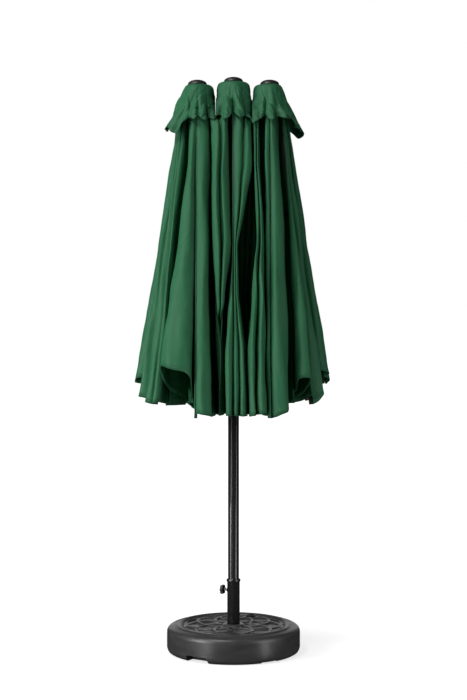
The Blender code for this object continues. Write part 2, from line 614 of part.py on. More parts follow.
def main():
    for one in list(bpy.data.objects):
        bpy.data.objects.remove(one)

    fabric = material("canopy_fabric", FABRIC_GREEN, 0.62)
    steel = material("mast_steel", STEEL_BLACK, 0.32, 0.4)
    plastic = material("black_plastic", PLASTIC_BLACK, 0.42)
    charcoal = material("base_plastic", BASE_CHARCOAL, 0.50)
    sleeve_steel = material("sleeve_steel", STEEL_BLACK, 0.30, 0.4)
    frame_steel = material("frame_steel", STEEL_BLACK, 0.36, 0.4)

    # Base
    place("base_shell", base_shell(), charcoal)
    place("base_sleeve", base_sleeve(), sleeve_steel)
    outward = Vector((math.cos(CLAMP_AZIMUTH), math.sin(CLAMP_AZIMUTH), 0))
    knob_place = Matrix.Translation(outward * CLAMP_KNOB_DISTANCE + Vector((0, 0, CLAMP_HEIGHT)))
    place("clamp_knob", clamp_knob(), plastic, knob_place @ about_z(CLAMP_AZIMUTH))
    cap_place = Matrix.Translation(FILLER_POSITION + Vector((0, 0, BASE_TOP - 0.004 + CLEARANCE)))
    place("filler_cap", filler_cap(), plastic, cap_place @ about_z(math.radians(25)))

    # Mast and crank
    place("mast_lower", mast_lower(), steel)
    upper = place("mast_upper", mast_upper(), steel)
    crank_place = Matrix.Translation((0, 0, CRANK_HEIGHT))
    attach(place("crank_housing", crank_housing(), plastic, crank_place), upper)
    attach(place("crank_handle", crank_handle(), plastic, crank_place), upper)

    # Centre hub and runner
    attach(place("hub_center", hub_center(), plastic, side_frame(0.0)), upper)
    finial_mesh = finial()
    attach(place("finial_center", finial_mesh, plastic, Matrix.Translation((0, 0, FINIAL_BOTTOM))),
           upper)
    attach(place("vent_cap_center", vent_cap(CAP_REACH_INNER, CAP_REACH_INNER), fabric,
                 side_frame(0.0)), upper)

    # Crossed bars, side hubs and runners
    hub_mesh, runner_mesh = hub_side(), runner_side()
    bar_a_mesh, bar_b_mesh = bar(-1, True), bar(1, False)
    cap_mesh = vent_cap(CAP_REACH_INNER, CAP_REACH_OUTER)
    side_hubs = {}
    for name, turn in (("right", 0.0), ("left", math.pi)):
        half = side_frame(turn)
        hub_frame = half @ Matrix.Translation((HUB_SPACING, 0, -SIDE_DROP))
        upper_pin = half @ Matrix.Translation((BAR_CENTER_OFFSET, 0, -BAR_DROP))
        bar_a = place(f"bar_a_{name}", bar_a_mesh, frame_steel,
                      upper_pin @ about_y(-LINK_CLOSED))
        crossing = half @ Matrix.Translation((BAR_CENTER_OFFSET + BAR_SPAN / 2, 0,
                                              -BAR_DROP - RUNNER_DROP / 2))
        middle = empty(f"crossing_{name}", crossing @ about_y(LINK_CLOSED))
        bar_b = place(f"bar_b_{name}", bar_b_mesh, frame_steel,
                      crossing @ about_y(LINK_CLOSED) @ Matrix.Translation((0, 0, LINK)))
        attach(bar_a, upper)
        attach(middle, bar_a)
        attach(bar_b, middle)
        end_pin = empty(f"side_pin_{name}", half @ Matrix.Translation(
            (HUB_SPACING - BAR_SIDE_OFFSET, 0, -BAR_DROP)))
        attach(end_pin, bar_b)
        side_hubs[name] = place(f"hub_{name}", hub_mesh, plastic, hub_frame)
        attach(side_hubs[name], end_pin)
        attach(place(f"finial_{name}", finial_mesh, plastic, hub_frame @ Matrix.Translation(
            (0, 0, FINIAL_BOTTOM - HUB_HEIGHT))), side_hubs[name])
        attach(place(f"vent_cap_{name}", cap_mesh, fabric, hub_frame), side_hubs[name])
        runner_pin = empty(f"runner_pin_{name}", half @ Matrix.Translation(
            (HUB_SPACING - BAR_SIDE_OFFSET, 0, -BAR_DROP - RUNNER_DROP)))
        attach(runner_pin, bar_a)
        runner_frame = hub_frame @ Matrix.Translation((0, 0, -RUNNER_DROP))
        attach(place(f"runner_{name}", runner_mesh, plastic, runner_frame), runner_pin)
    center_pin = empty("runner_pin_center", side_frame(math.pi) @ Matrix.Translation(
        (BAR_CENTER_OFFSET, 0, -BAR_DROP - RUNNER_DROP)))
    attach(center_pin, bpy.data.objects["bar_b_left"])
    attach(place("runner_center", runner_center(), plastic,
                 Matrix.Translation((0, 0, RUNNER_HEIGHT))), center_pin)

    # Ribs and struts
    ribs = rib_list()
    rib_meshes = {length: rib(length) for length in (RIB_FRONT, RIB_DIAGONAL, RIB_OUTWARD)}
    strut_mesh = strut()
    hubs = [upper] + [side_hubs["right"]] * 5 + [upper] + [side_hubs["left"]] * 5
    rib_objects = []
    for number, (frame, angle, length) in enumerate(ribs, 1):
        spoke = frame @ about_z(angle) @ Matrix.Translation((PIVOT_RADIUS, 0, 0))
        made = place(f"rib_{number:02d}", rib_meshes[length], frame_steel,
                     spoke @ about_y(-RIB_CLOSED))
        attach(made, hubs[number - 1])
        rib_objects.append(made)
        knee = spoke @ Matrix.Translation((LINK * math.sin(LINK_CLOSED), 0,
                                           -LINK * math.cos(LINK_CLOSED)))
        attach(place(f"strut_{number:02d}", strut_mesh, frame_steel,
                     knee @ about_y(LINK_CLOSED)), made)

    # Canopy panels: each is carried by one rib and follows the next
    axis_point, axis_line = hinge_axis_frame()
    axis_turn = axis_line.to_track_quat("Z", "Y").to_matrix().to_4x4()
    for number, (frame, angle, length) in enumerate(ribs, 1):
        name, axis_name = f"panel_{number:02d}", f"panel_axis_{number:02d}"
        if number in LONG_PANELS:
            panel = place(name, long_panel(*LONG_PANELS[number]), fabric, side_frame(0.0))
            pivot = empty(axis_name, panel.matrix_world)
        else:
            next_angle, next_length = ribs[number][1:]
            mesh = end_panel(angle, next_angle, length, next_length)
            panel = place(name, mesh, fabric, frame)
            pivot = empty(axis_name,
                          frame @ about_z(angle) @ Matrix.Translation(axis_point) @ axis_turn)
        attach(pivot, rib_objects[number - 1])
        attach(panel, pivot)


main()
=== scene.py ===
"""Patio umbrella with base, closed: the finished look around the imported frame.

The canopy is twelve panels of polyester, each held by two neighbouring ribs. Closed, a panel hangs
in deep folds. Its slack is stored on its points, and is taken up as the ribs spread, so that the
open canopy is taut.
"""

import json
import math
import random

import bmesh
import bpy
import numpy as np
from mathutils import Matrix, Vector, noise

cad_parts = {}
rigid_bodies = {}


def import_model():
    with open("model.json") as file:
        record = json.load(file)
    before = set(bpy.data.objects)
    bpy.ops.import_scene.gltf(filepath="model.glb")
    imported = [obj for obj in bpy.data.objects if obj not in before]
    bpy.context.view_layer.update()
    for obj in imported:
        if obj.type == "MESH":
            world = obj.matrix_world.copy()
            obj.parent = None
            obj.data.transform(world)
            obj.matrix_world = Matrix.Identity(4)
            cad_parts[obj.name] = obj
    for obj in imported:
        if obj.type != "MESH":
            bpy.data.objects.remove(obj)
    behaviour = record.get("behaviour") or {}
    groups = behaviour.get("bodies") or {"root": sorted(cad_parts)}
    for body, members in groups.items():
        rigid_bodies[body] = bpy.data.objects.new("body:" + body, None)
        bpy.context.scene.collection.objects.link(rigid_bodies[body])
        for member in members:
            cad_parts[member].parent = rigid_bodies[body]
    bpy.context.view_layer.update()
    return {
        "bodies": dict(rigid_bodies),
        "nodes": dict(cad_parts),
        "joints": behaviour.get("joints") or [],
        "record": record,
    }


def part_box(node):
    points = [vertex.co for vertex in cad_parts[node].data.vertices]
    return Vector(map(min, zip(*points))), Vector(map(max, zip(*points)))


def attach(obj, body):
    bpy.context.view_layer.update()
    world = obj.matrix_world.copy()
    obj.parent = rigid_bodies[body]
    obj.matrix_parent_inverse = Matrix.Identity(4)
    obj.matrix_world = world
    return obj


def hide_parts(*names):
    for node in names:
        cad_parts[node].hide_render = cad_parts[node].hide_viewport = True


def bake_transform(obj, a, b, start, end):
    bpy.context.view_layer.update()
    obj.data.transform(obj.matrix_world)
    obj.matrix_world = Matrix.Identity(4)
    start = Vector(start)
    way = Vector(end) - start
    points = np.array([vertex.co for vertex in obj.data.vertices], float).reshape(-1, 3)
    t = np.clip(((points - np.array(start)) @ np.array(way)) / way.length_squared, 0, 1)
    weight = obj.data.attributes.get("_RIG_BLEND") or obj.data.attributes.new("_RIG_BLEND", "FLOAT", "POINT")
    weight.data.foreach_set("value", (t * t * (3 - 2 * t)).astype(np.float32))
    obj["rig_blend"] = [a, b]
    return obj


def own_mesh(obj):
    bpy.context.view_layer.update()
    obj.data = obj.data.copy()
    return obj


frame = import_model()
joints = {joint["name"]: joint for joint in frame["joints"]}
couplings = frame["record"]["behaviour"]["couplings"]
noise.seed_set(7)  # or the noise fields would differ from run to run

# ---- Sizes in metres, most of them read from the frame --------------------------------------
MAIN_JOINT = "canopy_open"
OPEN_TURN = math.radians(joints[MAIN_JOINT]["range_deg"][1])
RIB_CLOSED = math.radians(8.07)
FABRIC_GAP = 0.0105
FABRIC = 0.0011
HEM = 0.020
APEX_GAP = 0.0036
THREAD = 0.0011
STITCH = 0.0042

PIVOTS = {n: Vector(joints[f"rib_{n:02d}_turn"]["pos_m"]) for n in range(1, 13)}
HUB_SPACING = PIVOTS[2].x
PIVOT_RADIUS = -PIVOTS[1].y
BASE_RADIUS, _, BASE_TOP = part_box("base_shell")[1]


def hub_center(number):
    """The middle of the hub that a rib hangs from."""
    pivot = PIVOTS[number]
    side = 0.0 if number in (1, 7) else math.copysign(HUB_SPACING, pivot.x)
    return Vector((side, 0.0, pivot.z))


# ---- Materials ------------------------------------------------------------------------------
class Nodes:
    """Short calls for building one material's node tree."""

    def __init__(self, name):
        self.material = bpy.data.materials.new(name)
        self.material.use_nodes = True
        self.tree = self.material.node_tree
        self.shader = self.tree.nodes["Principled BSDF"]

    def set(self, **values):
        for name, value in values.items():
            self.shader.inputs[name.replace("_", " ")].default_value = value

    def node(self, kind, **settings):
        made = self.tree.nodes.new(kind)
        for name, value in settings.items():
            setattr(made, name, value)
        return made

    def link(self, value, socket):
        if isinstance(value, bpy.types.NodeSocket):
            self.tree.links.new(value, socket)
        else:
            socket.default_value = value

    def math(self, operation, *values):
        made = self.node("ShaderNodeMath", operation=operation)
        for value, socket in zip(values, made.inputs):
            self.link(value, socket)
        return made.outputs[0]

    def position(self, x=1.0, y=1.0, z=1.0):
        """Object coordinates, stretched by a scale for each axis."""
        made = self.node("ShaderNodeMapping")
        self.link(self.node("ShaderNodeTexCoord").outputs["Object"], made.inputs["Vector"])
        made.inputs["Scale"].default_value = (x, y, z)
        return made.outputs[0]

    def noise(self, vector, scale, detail=3.0, roughness=0.5):
        made = self.node("ShaderNodeTexNoise")
        self.link(vector, made.inputs["Vector"])
        made.inputs["Scale"].default_value = scale
        made.inputs["Detail"].default_value = detail
        made.inputs["Roughness"].default_value = roughness
        return made.outputs["Fac"]

    def between(self, value, low, high, start=0.0, end=1.0):
        """A value mapped from low..high to start..end, and held there."""
        made = self.node("ShaderNodeMapRange")
        for number, socket in zip((low, high, start, end), made.inputs[1:5]):
            socket.default_value = number
        self.link(value, made.inputs["Value"])
        return made.outputs["Result"]

    def mix(self, share, first, second):
        made = self.node("ShaderNodeMix", data_type="RGBA")
        self.link(share, made.inputs["Factor"])
        for color, socket in ((first, made.inputs["A"]), (second, made.inputs["B"])):
            self.link(color if isinstance(color, bpy.types.NodeSocket) else (*color, 1.0), socket)
        return made.outputs["Result"]

    def bump(self, height, distance, strength=1.0, under=None):
        made = self.node("ShaderNodeBump")
        made.inputs["Distance"].default_value = distance
        made.inputs["Strength"].default_value = strength
        self.link(height, made.inputs["Height"])
        if under is not None:
            self.link(under, made.inputs["Normal"])
        return made.outputs["Normal"]

    def finish(self, color, roughness, normal):
        self.link(color, self.shader.inputs["Base Color"])
        self.link(roughness, self.shader.inputs["Roughness"])
        self.link(normal, self.shader.inputs["Normal"])
        return self.material


def fabric_material():
    """Green polyester: fine plain weave, long streaks that vary roughness and bump and put painted sheen
    into the colour, a stitched hem and rib seams.
    """
    n = Nodes("green_polyester")
    cloth = n.node("ShaderNodeUVMap", uv_map="cloth").outputs["UV"]
    apart = n.node("ShaderNodeSeparateXYZ")
    n.link(cloth, apart.inputs[0])
    across, up = apart.outputs["X"], apart.outputs["Y"]
    seam = n.node("ShaderNodeAttribute", attribute_name="seam").outputs["Fac"]

    stretched = n.node("ShaderNodeMapping")
    n.link(cloth, stretched.inputs["Vector"])
    stretched.inputs["Scale"].default_value = (1.0, 0.035, 1.0)
    streaks_and_painted_sheen = n.noise(stretched.outputs[0], 150.0, 4.0, 0.6)
    broad = n.noise(stretched.outputs[0], 28.0, 3.0, 0.5)
    clouds = n.noise(cloth, 9.0, 4.0, 0.55)

    warp = n.math("SINE", n.math("MULTIPLY", across, 2 * math.pi / THREAD))
    weft = n.math("SINE", n.math("MULTIPLY", up, 2 * math.pi / THREAD))
    weave = n.math("MULTIPLY", warp, weft)

    def stitches(distance, line, along):
        """A row of stitches beside an edge, 1 on the thread."""
        on_line = n.math("COMPARE", distance, line, 0.0007)
        part = n.math("FRACT", n.math("MULTIPLY", along, 1 / STITCH))
        return n.math("MULTIPLY", on_line, n.math("LESS_THAN", part, 0.62))
    thread = n.math("MAXIMUM", stitches(up, 0.004, across), stitches(up, HEM - 0.003, across))
    thread = n.math("MAXIMUM", thread, stitches(seam, 0.0065, up))
    hem = n.between(up, HEM - 0.001, HEM + 0.001, 1.0, 0.0)
    welt = n.between(seam, 0.0035, 0.0095, 1.0, 0.0)

    # The lighter and darker greens along the streaks are painted sheen.
    color = n.mix(n.between(streaks_and_painted_sheen, 0.34, 0.66), (0.013, 0.098, 0.041), (0.019, 0.126, 0.055))
    color = n.mix(n.between(broad, 0.3, 0.7), color, (0.016, 0.115, 0.047))
    color = n.mix(n.between(clouds, 0.35, 0.75, 0.0, 0.35), color, (0.016, 0.096, 0.041))
    color = n.mix(n.math("MULTIPLY", hem, 0.25), color, (0.014, 0.080, 0.036))
    color = n.mix(n.math("MULTIPLY", thread, 0.7), color, (0.014, 0.055, 0.028))
    roughness = n.between(streaks_and_painted_sheen, 0.3, 0.7, 0.50, 0.66)
    normal = n.bump(n.math("MULTIPLY", weave, 0.5), 0.0002, 0.35)
    normal = n.bump(n.math("ADD", streaks_and_painted_sheen, n.math("MULTIPLY", broad, 1.6)), 0.0022, 0.55, normal)
    edge = n.math("ADD", hem, n.math("MULTIPLY", welt, 0.8))
    normal = n.bump(n.math("SUBTRACT", edge, n.math("MULTIPLY", thread, 0.6)), 0.0012, 0.8, normal)
    n.set(Sheen_Weight=0.10, Sheen_Roughness=0.40, Specular_IOR_Level=0.26)
    n.set(Sheen_Tint=(0.55, 0.85, 0.62, 1.0))
    return n.finish(color, roughness, normal)


def coated_steel(name, tint, gloss):
    """Black powder coat: satin, with orange-peel texture, faint rub marks and dust."""
    n = Nodes(name)
    place = n.position()
    peel = n.noise(place, 900.0, 2.0)
    marks = n.noise(n.position(z=0.06), 260.0, 4.0, 0.65)
    dust = n.noise(place, 14.0, 4.0, 0.6)
    base, worn = (0.016 * tint,) * 3, (0.030 * tint,) * 3
    color = n.mix(n.between(marks, 0.62, 0.80, 0.0, 0.6), base, worn)
    color = n.mix(n.between(dust, 0.55, 0.85, 0.0, 0.18), color, (0.06, 0.058, 0.055))
    roughness = n.between(marks, 0.3, 0.8, gloss - 0.04, gloss + 0.10)
    n.set(Coat_Weight=0.35, Coat_Roughness=0.10, Specular_IOR_Level=0.5)
    return n.finish(color, roughness, n.bump(peel, 0.0001, 0.05))


def moulded_plastic(name, color, gloss=0.42):
    """Black moulded plastic with a fine spark-eroded grain."""
    n = Nodes(name)
    place = n.position()
    grain = n.noise(place, 1400.0, 2.0)
    patches = n.noise(place, 40.0, 4.0, 0.6)
    lighter = tuple(1.6 * c for c in color)
    shade = n.mix(n.between(patches, 0.45, 0.8, 0.0, 0.5), color, lighter)
    roughness = n.between(patches, 0.3, 0.75, gloss - 0.05, gloss + 0.12)
    return n.finish(shade, roughness, n.bump(grain, 0.0002, 0.4))


def base_material():
    """Charcoal blow-moulded plastic: fine leathery grain, flow marks and a lighter colour towards the
    bottom.
    """
    n = Nodes("charcoal_plastic")
    place = n.position()
    grain = n.noise(place, 520.0, 4.0, 0.6)
    pebbles = n.node("ShaderNodeTexVoronoi", feature="SMOOTH_F1")
    n.link(place, pebbles.inputs["Vector"])
    pebbles.inputs["Scale"].default_value = 420.0
    flow = n.noise(n.position(z=5.0), 11.0, 5.0, 0.6)
    scuffs = n.noise(n.position(z=0.25), 75.0, 5.0, 0.7)
    height = n.node("ShaderNodeSeparateXYZ")
    n.link(n.node("ShaderNodeTexCoord").outputs["Object"], height.inputs[0])
    low = n.between(height.outputs["Z"], 0.0, 0.05, 1.0, 0.0)
    color = n.mix(n.between(flow, 0.35, 0.7), (0.034, 0.034, 0.0355), (0.047, 0.047, 0.049))
    color = n.mix(n.between(scuffs, 0.62, 0.78, 0.0, 0.55), color, (0.085, 0.084, 0.082))
    # Lighter and warmer towards the bottom, over the lowest 5 cm of the wall.
    color = n.mix(n.math("MULTIPLY", low, 0.25), color, (0.075, 0.071, 0.065))
    roughness = n.between(flow, 0.3, 0.7, 0.30, 0.44)
    normal = n.bump(pebbles.outputs["Distance"], 0.0005, 0.25)
    normal = n.bump(grain, 0.0003, 0.3, normal)
    return n.finish(color, roughness, normal)


def zinc_material():
    """Bright zinc plate on the clamp's bolt."""
    n = Nodes("zinc_plate")
    place = n.position()
    spangle = n.noise(place, 600.0, 3.0)
    color = n.mix(spangle, (0.55, 0.57, 0.60), (0.70, 0.72, 0.75))
    n.set(Metallic=1.0)
    return n.finish(color, n.between(spangle, 0.3, 0.7, 0.22, 0.36), n.bump(spangle, 0.0001, 0.3))


FABRIC_LOOK = fabric_material()
MAST_LOOK = coated_steel("mast_powder_coat", 1.0, 0.17)
SLEEVE_LOOK = coated_steel("sleeve_powder_coat", 1.0, 0.18)
FRAME_LOOK = coated_steel("frame_powder_coat", 1.1, 0.38)
PLASTIC_LOOK = moulded_plastic("black_plastic", (0.018, 0.018, 0.019))
KNOB_LOOK = moulded_plastic("knob_plastic", (0.012, 0.012, 0.013), 0.36)
BASE_LOOK = base_material()
ZINC_LOOK = zinc_material()


def paint(piece, material):
    """Give a piece one material in all its slots."""
    piece.data.materials.clear()
    piece.data.materials.append(material)


for node_name, node in frame["nodes"].items():
    if node_name.startswith(("rib", "strut", "bar")):
        paint(node, FRAME_LOOK)
    elif node_name.startswith("mast"):
        paint(node, MAST_LOOK)
    elif node_name == "base_sleeve":
        paint(node, SLEEVE_LOOK)
    elif node_name == "clamp_knob":
        paint(node, KNOB_LOOK)
    else:
        paint(node, PLASTIC_LOOK)


# ---- Mesh helpers ---------------------------------------------------------------------------
def mesh_object(name, points, faces, material, smooth=True):
    """A new object from points and faces."""
    mesh = bpy.data.meshes.new(name)
    mesh.from_pydata([tuple(point) for point in points], [], faces)
    mesh.validate()
    if smooth:
        mesh.shade_smooth()
    mesh.materials.append(material)
    made = bpy.data.objects.new(name, mesh)
    bpy.context.scene.collection.objects.link(made)
    return made


def grid_faces(rows, columns, wrap=False):
    """Quads over rows of points, each row running across; wrap closes each row."""
    faces = []
    for row in range(rows - 1):
        for column in range(columns if wrap else columns - 1):
            after = (column + 1) % columns
            faces.append((row * columns + column, row * columns + after,
                          (row + 1) * columns + after, (row + 1) * columns + column))
    return faces


def spline(points, samples):
    """Points on the clamped uniform cubic B-spline of a row of control points."""
    padded = np.vstack([points[:1], points[:1], points, points[-1:], points[-1:]])
    out = []
    for start in range(len(padded) - 3):
        p0, p1, p2, p3 = padded[start:start + 4]
        for step in range(samples):
            t = step / samples
            out.append(((1 - t) ** 3 * p0 + (3 * t ** 3 - 6 * t * t + 4) * p1
                        + (-3 * t ** 3 + 3 * t * t + 3 * t + 1) * p2 + t ** 3 * p3) / 6)
    out.append(points[-1])
    return np.array(out)


def smoothstep(x):
    x = min(max(x, 0.0), 1.0)
    return x * x * (3 - 2 * x)


def dress_cloth(made, cloth, seam):
    """Store where each point lies on the flat cloth and its way to a seam, and double the hem."""
    mesh = made.data
    mesh.attributes.new("seam", "FLOAT", "POINT").data.foreach_set(
        "value", np.array(seam, np.float32))
    corners = np.array([loop.vertex_index for loop in mesh.loops])
    layer = mesh.uv_layers.new(name="cloth")
    layer.data.foreach_set("uv", np.array(cloth, np.float32)[corners].ravel())
    group = made.vertex_groups.new(name="thickness")
    for index, (_, height) in enumerate(cloth):
        group.add([index], 1.0 if height < HEM else 0.5, "REPLACE")


def thicken(made, offset):
    """Give the cloth its thickness, on one side of the mesh."""
    thick = made.modifiers.new("thickness", "SOLIDIFY")
    thick.thickness = 2 * FABRIC
    thick.offset = offset
    thick.vertex_group = "thickness"


# ---- Where the bodies go as the canopy opens ------------------------------------------------
def turn_about(point, axis, angle):
    point = Vector(point)
    return (Matrix.Translation(point) @ Matrix.Rotation(angle, 4, Vector(axis))
            @ Matrix.Translation(-point))


def opened_bodies():
    """Each body's matrix when the canopy is fully open and nothing else is moved."""
    ratio = {c["joint"]: c["ratio"] for c in couplings if c["follows"] == MAIN_JOINT}
    ratio[MAIN_JOINT] = 1.0
    placed, waiting = {"base": Matrix.Identity(4)}, list(joints.values())
    while waiting:
        ready = [joint for joint in waiting if joint["parent"] in placed]
        for joint in ready:
            travel = ratio.get(joint["name"], 0.0) * OPEN_TURN
            if joint["type"] == "slide":
                motion = Matrix.Translation(Vector(joint["axis"]).normalized() * travel)
            else:
                motion = turn_about(joint["pos_m"], joint["axis"], travel)
            placed[joint["child"]] = placed[joint["parent"]] @ motion
        waiting = [joint for joint in waiting if joint not in ready]
    return placed


OPENED = opened_bodies()


def screw_share(matrix, share):
    """The part of a rigid motion that turns and slides about one axis."""
    turn = matrix.to_quaternion()
    axis, angle = turn.to_axis_angle()
    if abs(angle) < 1e-6:
        return Matrix.Translation(matrix.translation * share)
    move = matrix.translation
    along = axis * move.dot(axis)
    across = move - along
    center = 0.5 * (across + axis.cross(across) / math.tan(angle / 2))
    return Matrix.Translation(along * share) @ turn_about(center, axis, angle * share)


# ---- Canopy folds ---------------------------------------------------------------------------
# A lobe is a fold that stands out between two ribs: where it starts and ends across the panel
# (0 at one rib, 1 at the next), and how far it stands out in metres, each at four heights, and how
# far its two sides ride up at the hem.
# Between lobes the cloth runs in towards the mast and back: a valley with some inner folds that
# spread out behind the lobes.
HEIGHTS = {4: (0.27, 0.66, 0.80, 1.0), 5: (0.27, 0.50, 0.66, 0.80, 1.0)}


def lobe(start, end, out, lift=(0.0, 0.0), creases=1):
    """A lobe whose sides may be one number, where they are straight."""
    start, end = (side if isinstance(side, tuple) else (side,) * 4 for side in (start, end))
    return {"start": start, "end": end, "out": out, "lift": lift, "creases": creases}


def valley(folds, spread, drop=0.0):
    return {"folds": folds, "spread": spread, "drop": drop}


PANELS = {
    1: ([lobe((.03, .02, .02, .02, .02), (.49, .10, .13, .33, .36), (.012, .012, .014, .016, .020),
              (0, 0), 2),
         lobe((.57, .62, .50, .37, .40), (.71, .80, .84, .86, .88), (.010, .018, .022, .022, .026),
              (0, .02), 2),
         lobe((.88, .86, .89, .90, .91), 1, (.006, .008, .008, .010, .012))],
        [valley(6, .16), valley(2, .06)]),
    2: ([lobe((.03, .02, .02, .02), (.46, .45, .42, .40), (.012, .020, .022, .026), (0, .02)),
         lobe((.92, .78, .74, .64), (.96, .95, .94, .93), (.004, .016, .018, .022), (.10, .10)),
         lobe((.985, .98, .975, .97), 1, (.002, .004, .004, .004), (.04, 0))],
        [valley(4, .08), valley(1, .02)]),
    3: ([lobe(0, (.30, .32, .33, .32), (.006, .012, .014, .018), (0, .05)),
         lobe((.40, .41, .42, .42), 1, (.005, .012, .014, .018), (.06, 0), 2)],
        [valley(3, .12, .03)]),
    4: ([lobe(0, (.42, .44, .45, .46), (.005, .012, .016, .020)),
         lobe((.52, .52, .52, .54), 1, (.008, .018, .020, .022), (.04, 0))],
        [valley(3, .14)]),
    5: ([lobe(0, (.30, .33, .36, .38), (.008, .018, .022, .028), (0, .03)),
         lobe((.38, .42, .44, .47), (.66, .70, .72, .74), (.008, .020, .026, .032), (.05, .06)),
         lobe((.72, .75, .76, .79), 1, (.006, .014, .018, .022), (.03, 0))],
        [valley(1, .05), valley(3, .07)]),
    6: ([lobe(.03, (.34, .30, .28, .26), (.010, .018, .022, .026)),
         lobe((.42, .42, .40, .38), (.62, .66, .68, .70), (.008, .022, .026, .032), (.01, -.01)),
         lobe((.72, .76, .78, .80), .97, (.008, .016, .020, .022))],
        [valley(3, .06), valley(3, .07)]),
    7: ([lobe(.03, (.46, .40, .38, .36), (.010, .022, .028, .034), (0, 0), 2),
         lobe((.56, .56, .55, .50), .97, (.010, .024, .028, .032), (-.01, .02), 2)],
        [valley(7, .22)]),
    8: ([lobe(0, (.50, .48, .46, .44), (.010, .020, .024, .028), (0, .03), 2),
         lobe((.60, .56, .53, .50), 1, (.008, .018, .022, .026), (.05, 0))],
        [valley(3, .12)]),
    9: ([lobe(0, (.34, .36, .38, .38), (.006, .016, .020, .024), (0, .05)),
         lobe((.42, .42, .44, .45), 1, (.006, .014, .020, .028), (.03, 0), 2)],
        [valley(3, .12)]),
    10: ([lobe(0, (.42, .42, .40, .38), (.006, .014, .020, .030), (0, .03)),
          lobe((.50, .49, .47, .46), 1, (.008, .015, .018, .022), (.01, 0), 2)],
         [valley(3, .12, .02)]),
    11: ([lobe(0, (.28, .14, .12, .12), (.010, .010, .010, .012), (0, .01)),
          lobe((.50, .19, .17, .16), (.94, .91, .90, .89), (.010, .014, .018, .022), (.165, .14)),
          lobe((.985, .975, .97, .97), 1, (.001, .002, .002, .003))],
         [valley(3, .07), valley(1, .02)]),
    12: ([lobe(.02, (.33, .34, .33, .36, .47), (.010, .018, .022, .026, .030),
               (.02, 0)),
          lobe((.38, .46, .54, .60, .62), (.86, .92, .76, .66, .68),
               (.014, .020, .016, -.12, -.15), (0, 0), 2),
          lobe((.985, .985, .90, .79, .80), 1, (.002, .002, .008, .014, .020))],
         [valley(3, .12), valley(2, .05)]),
}
LONG_PANELS = (1, 6, 7, 12)
INNER_LIMIT = {True: 0.033, False: 0.048}
CRANK_LIMIT = 0.072


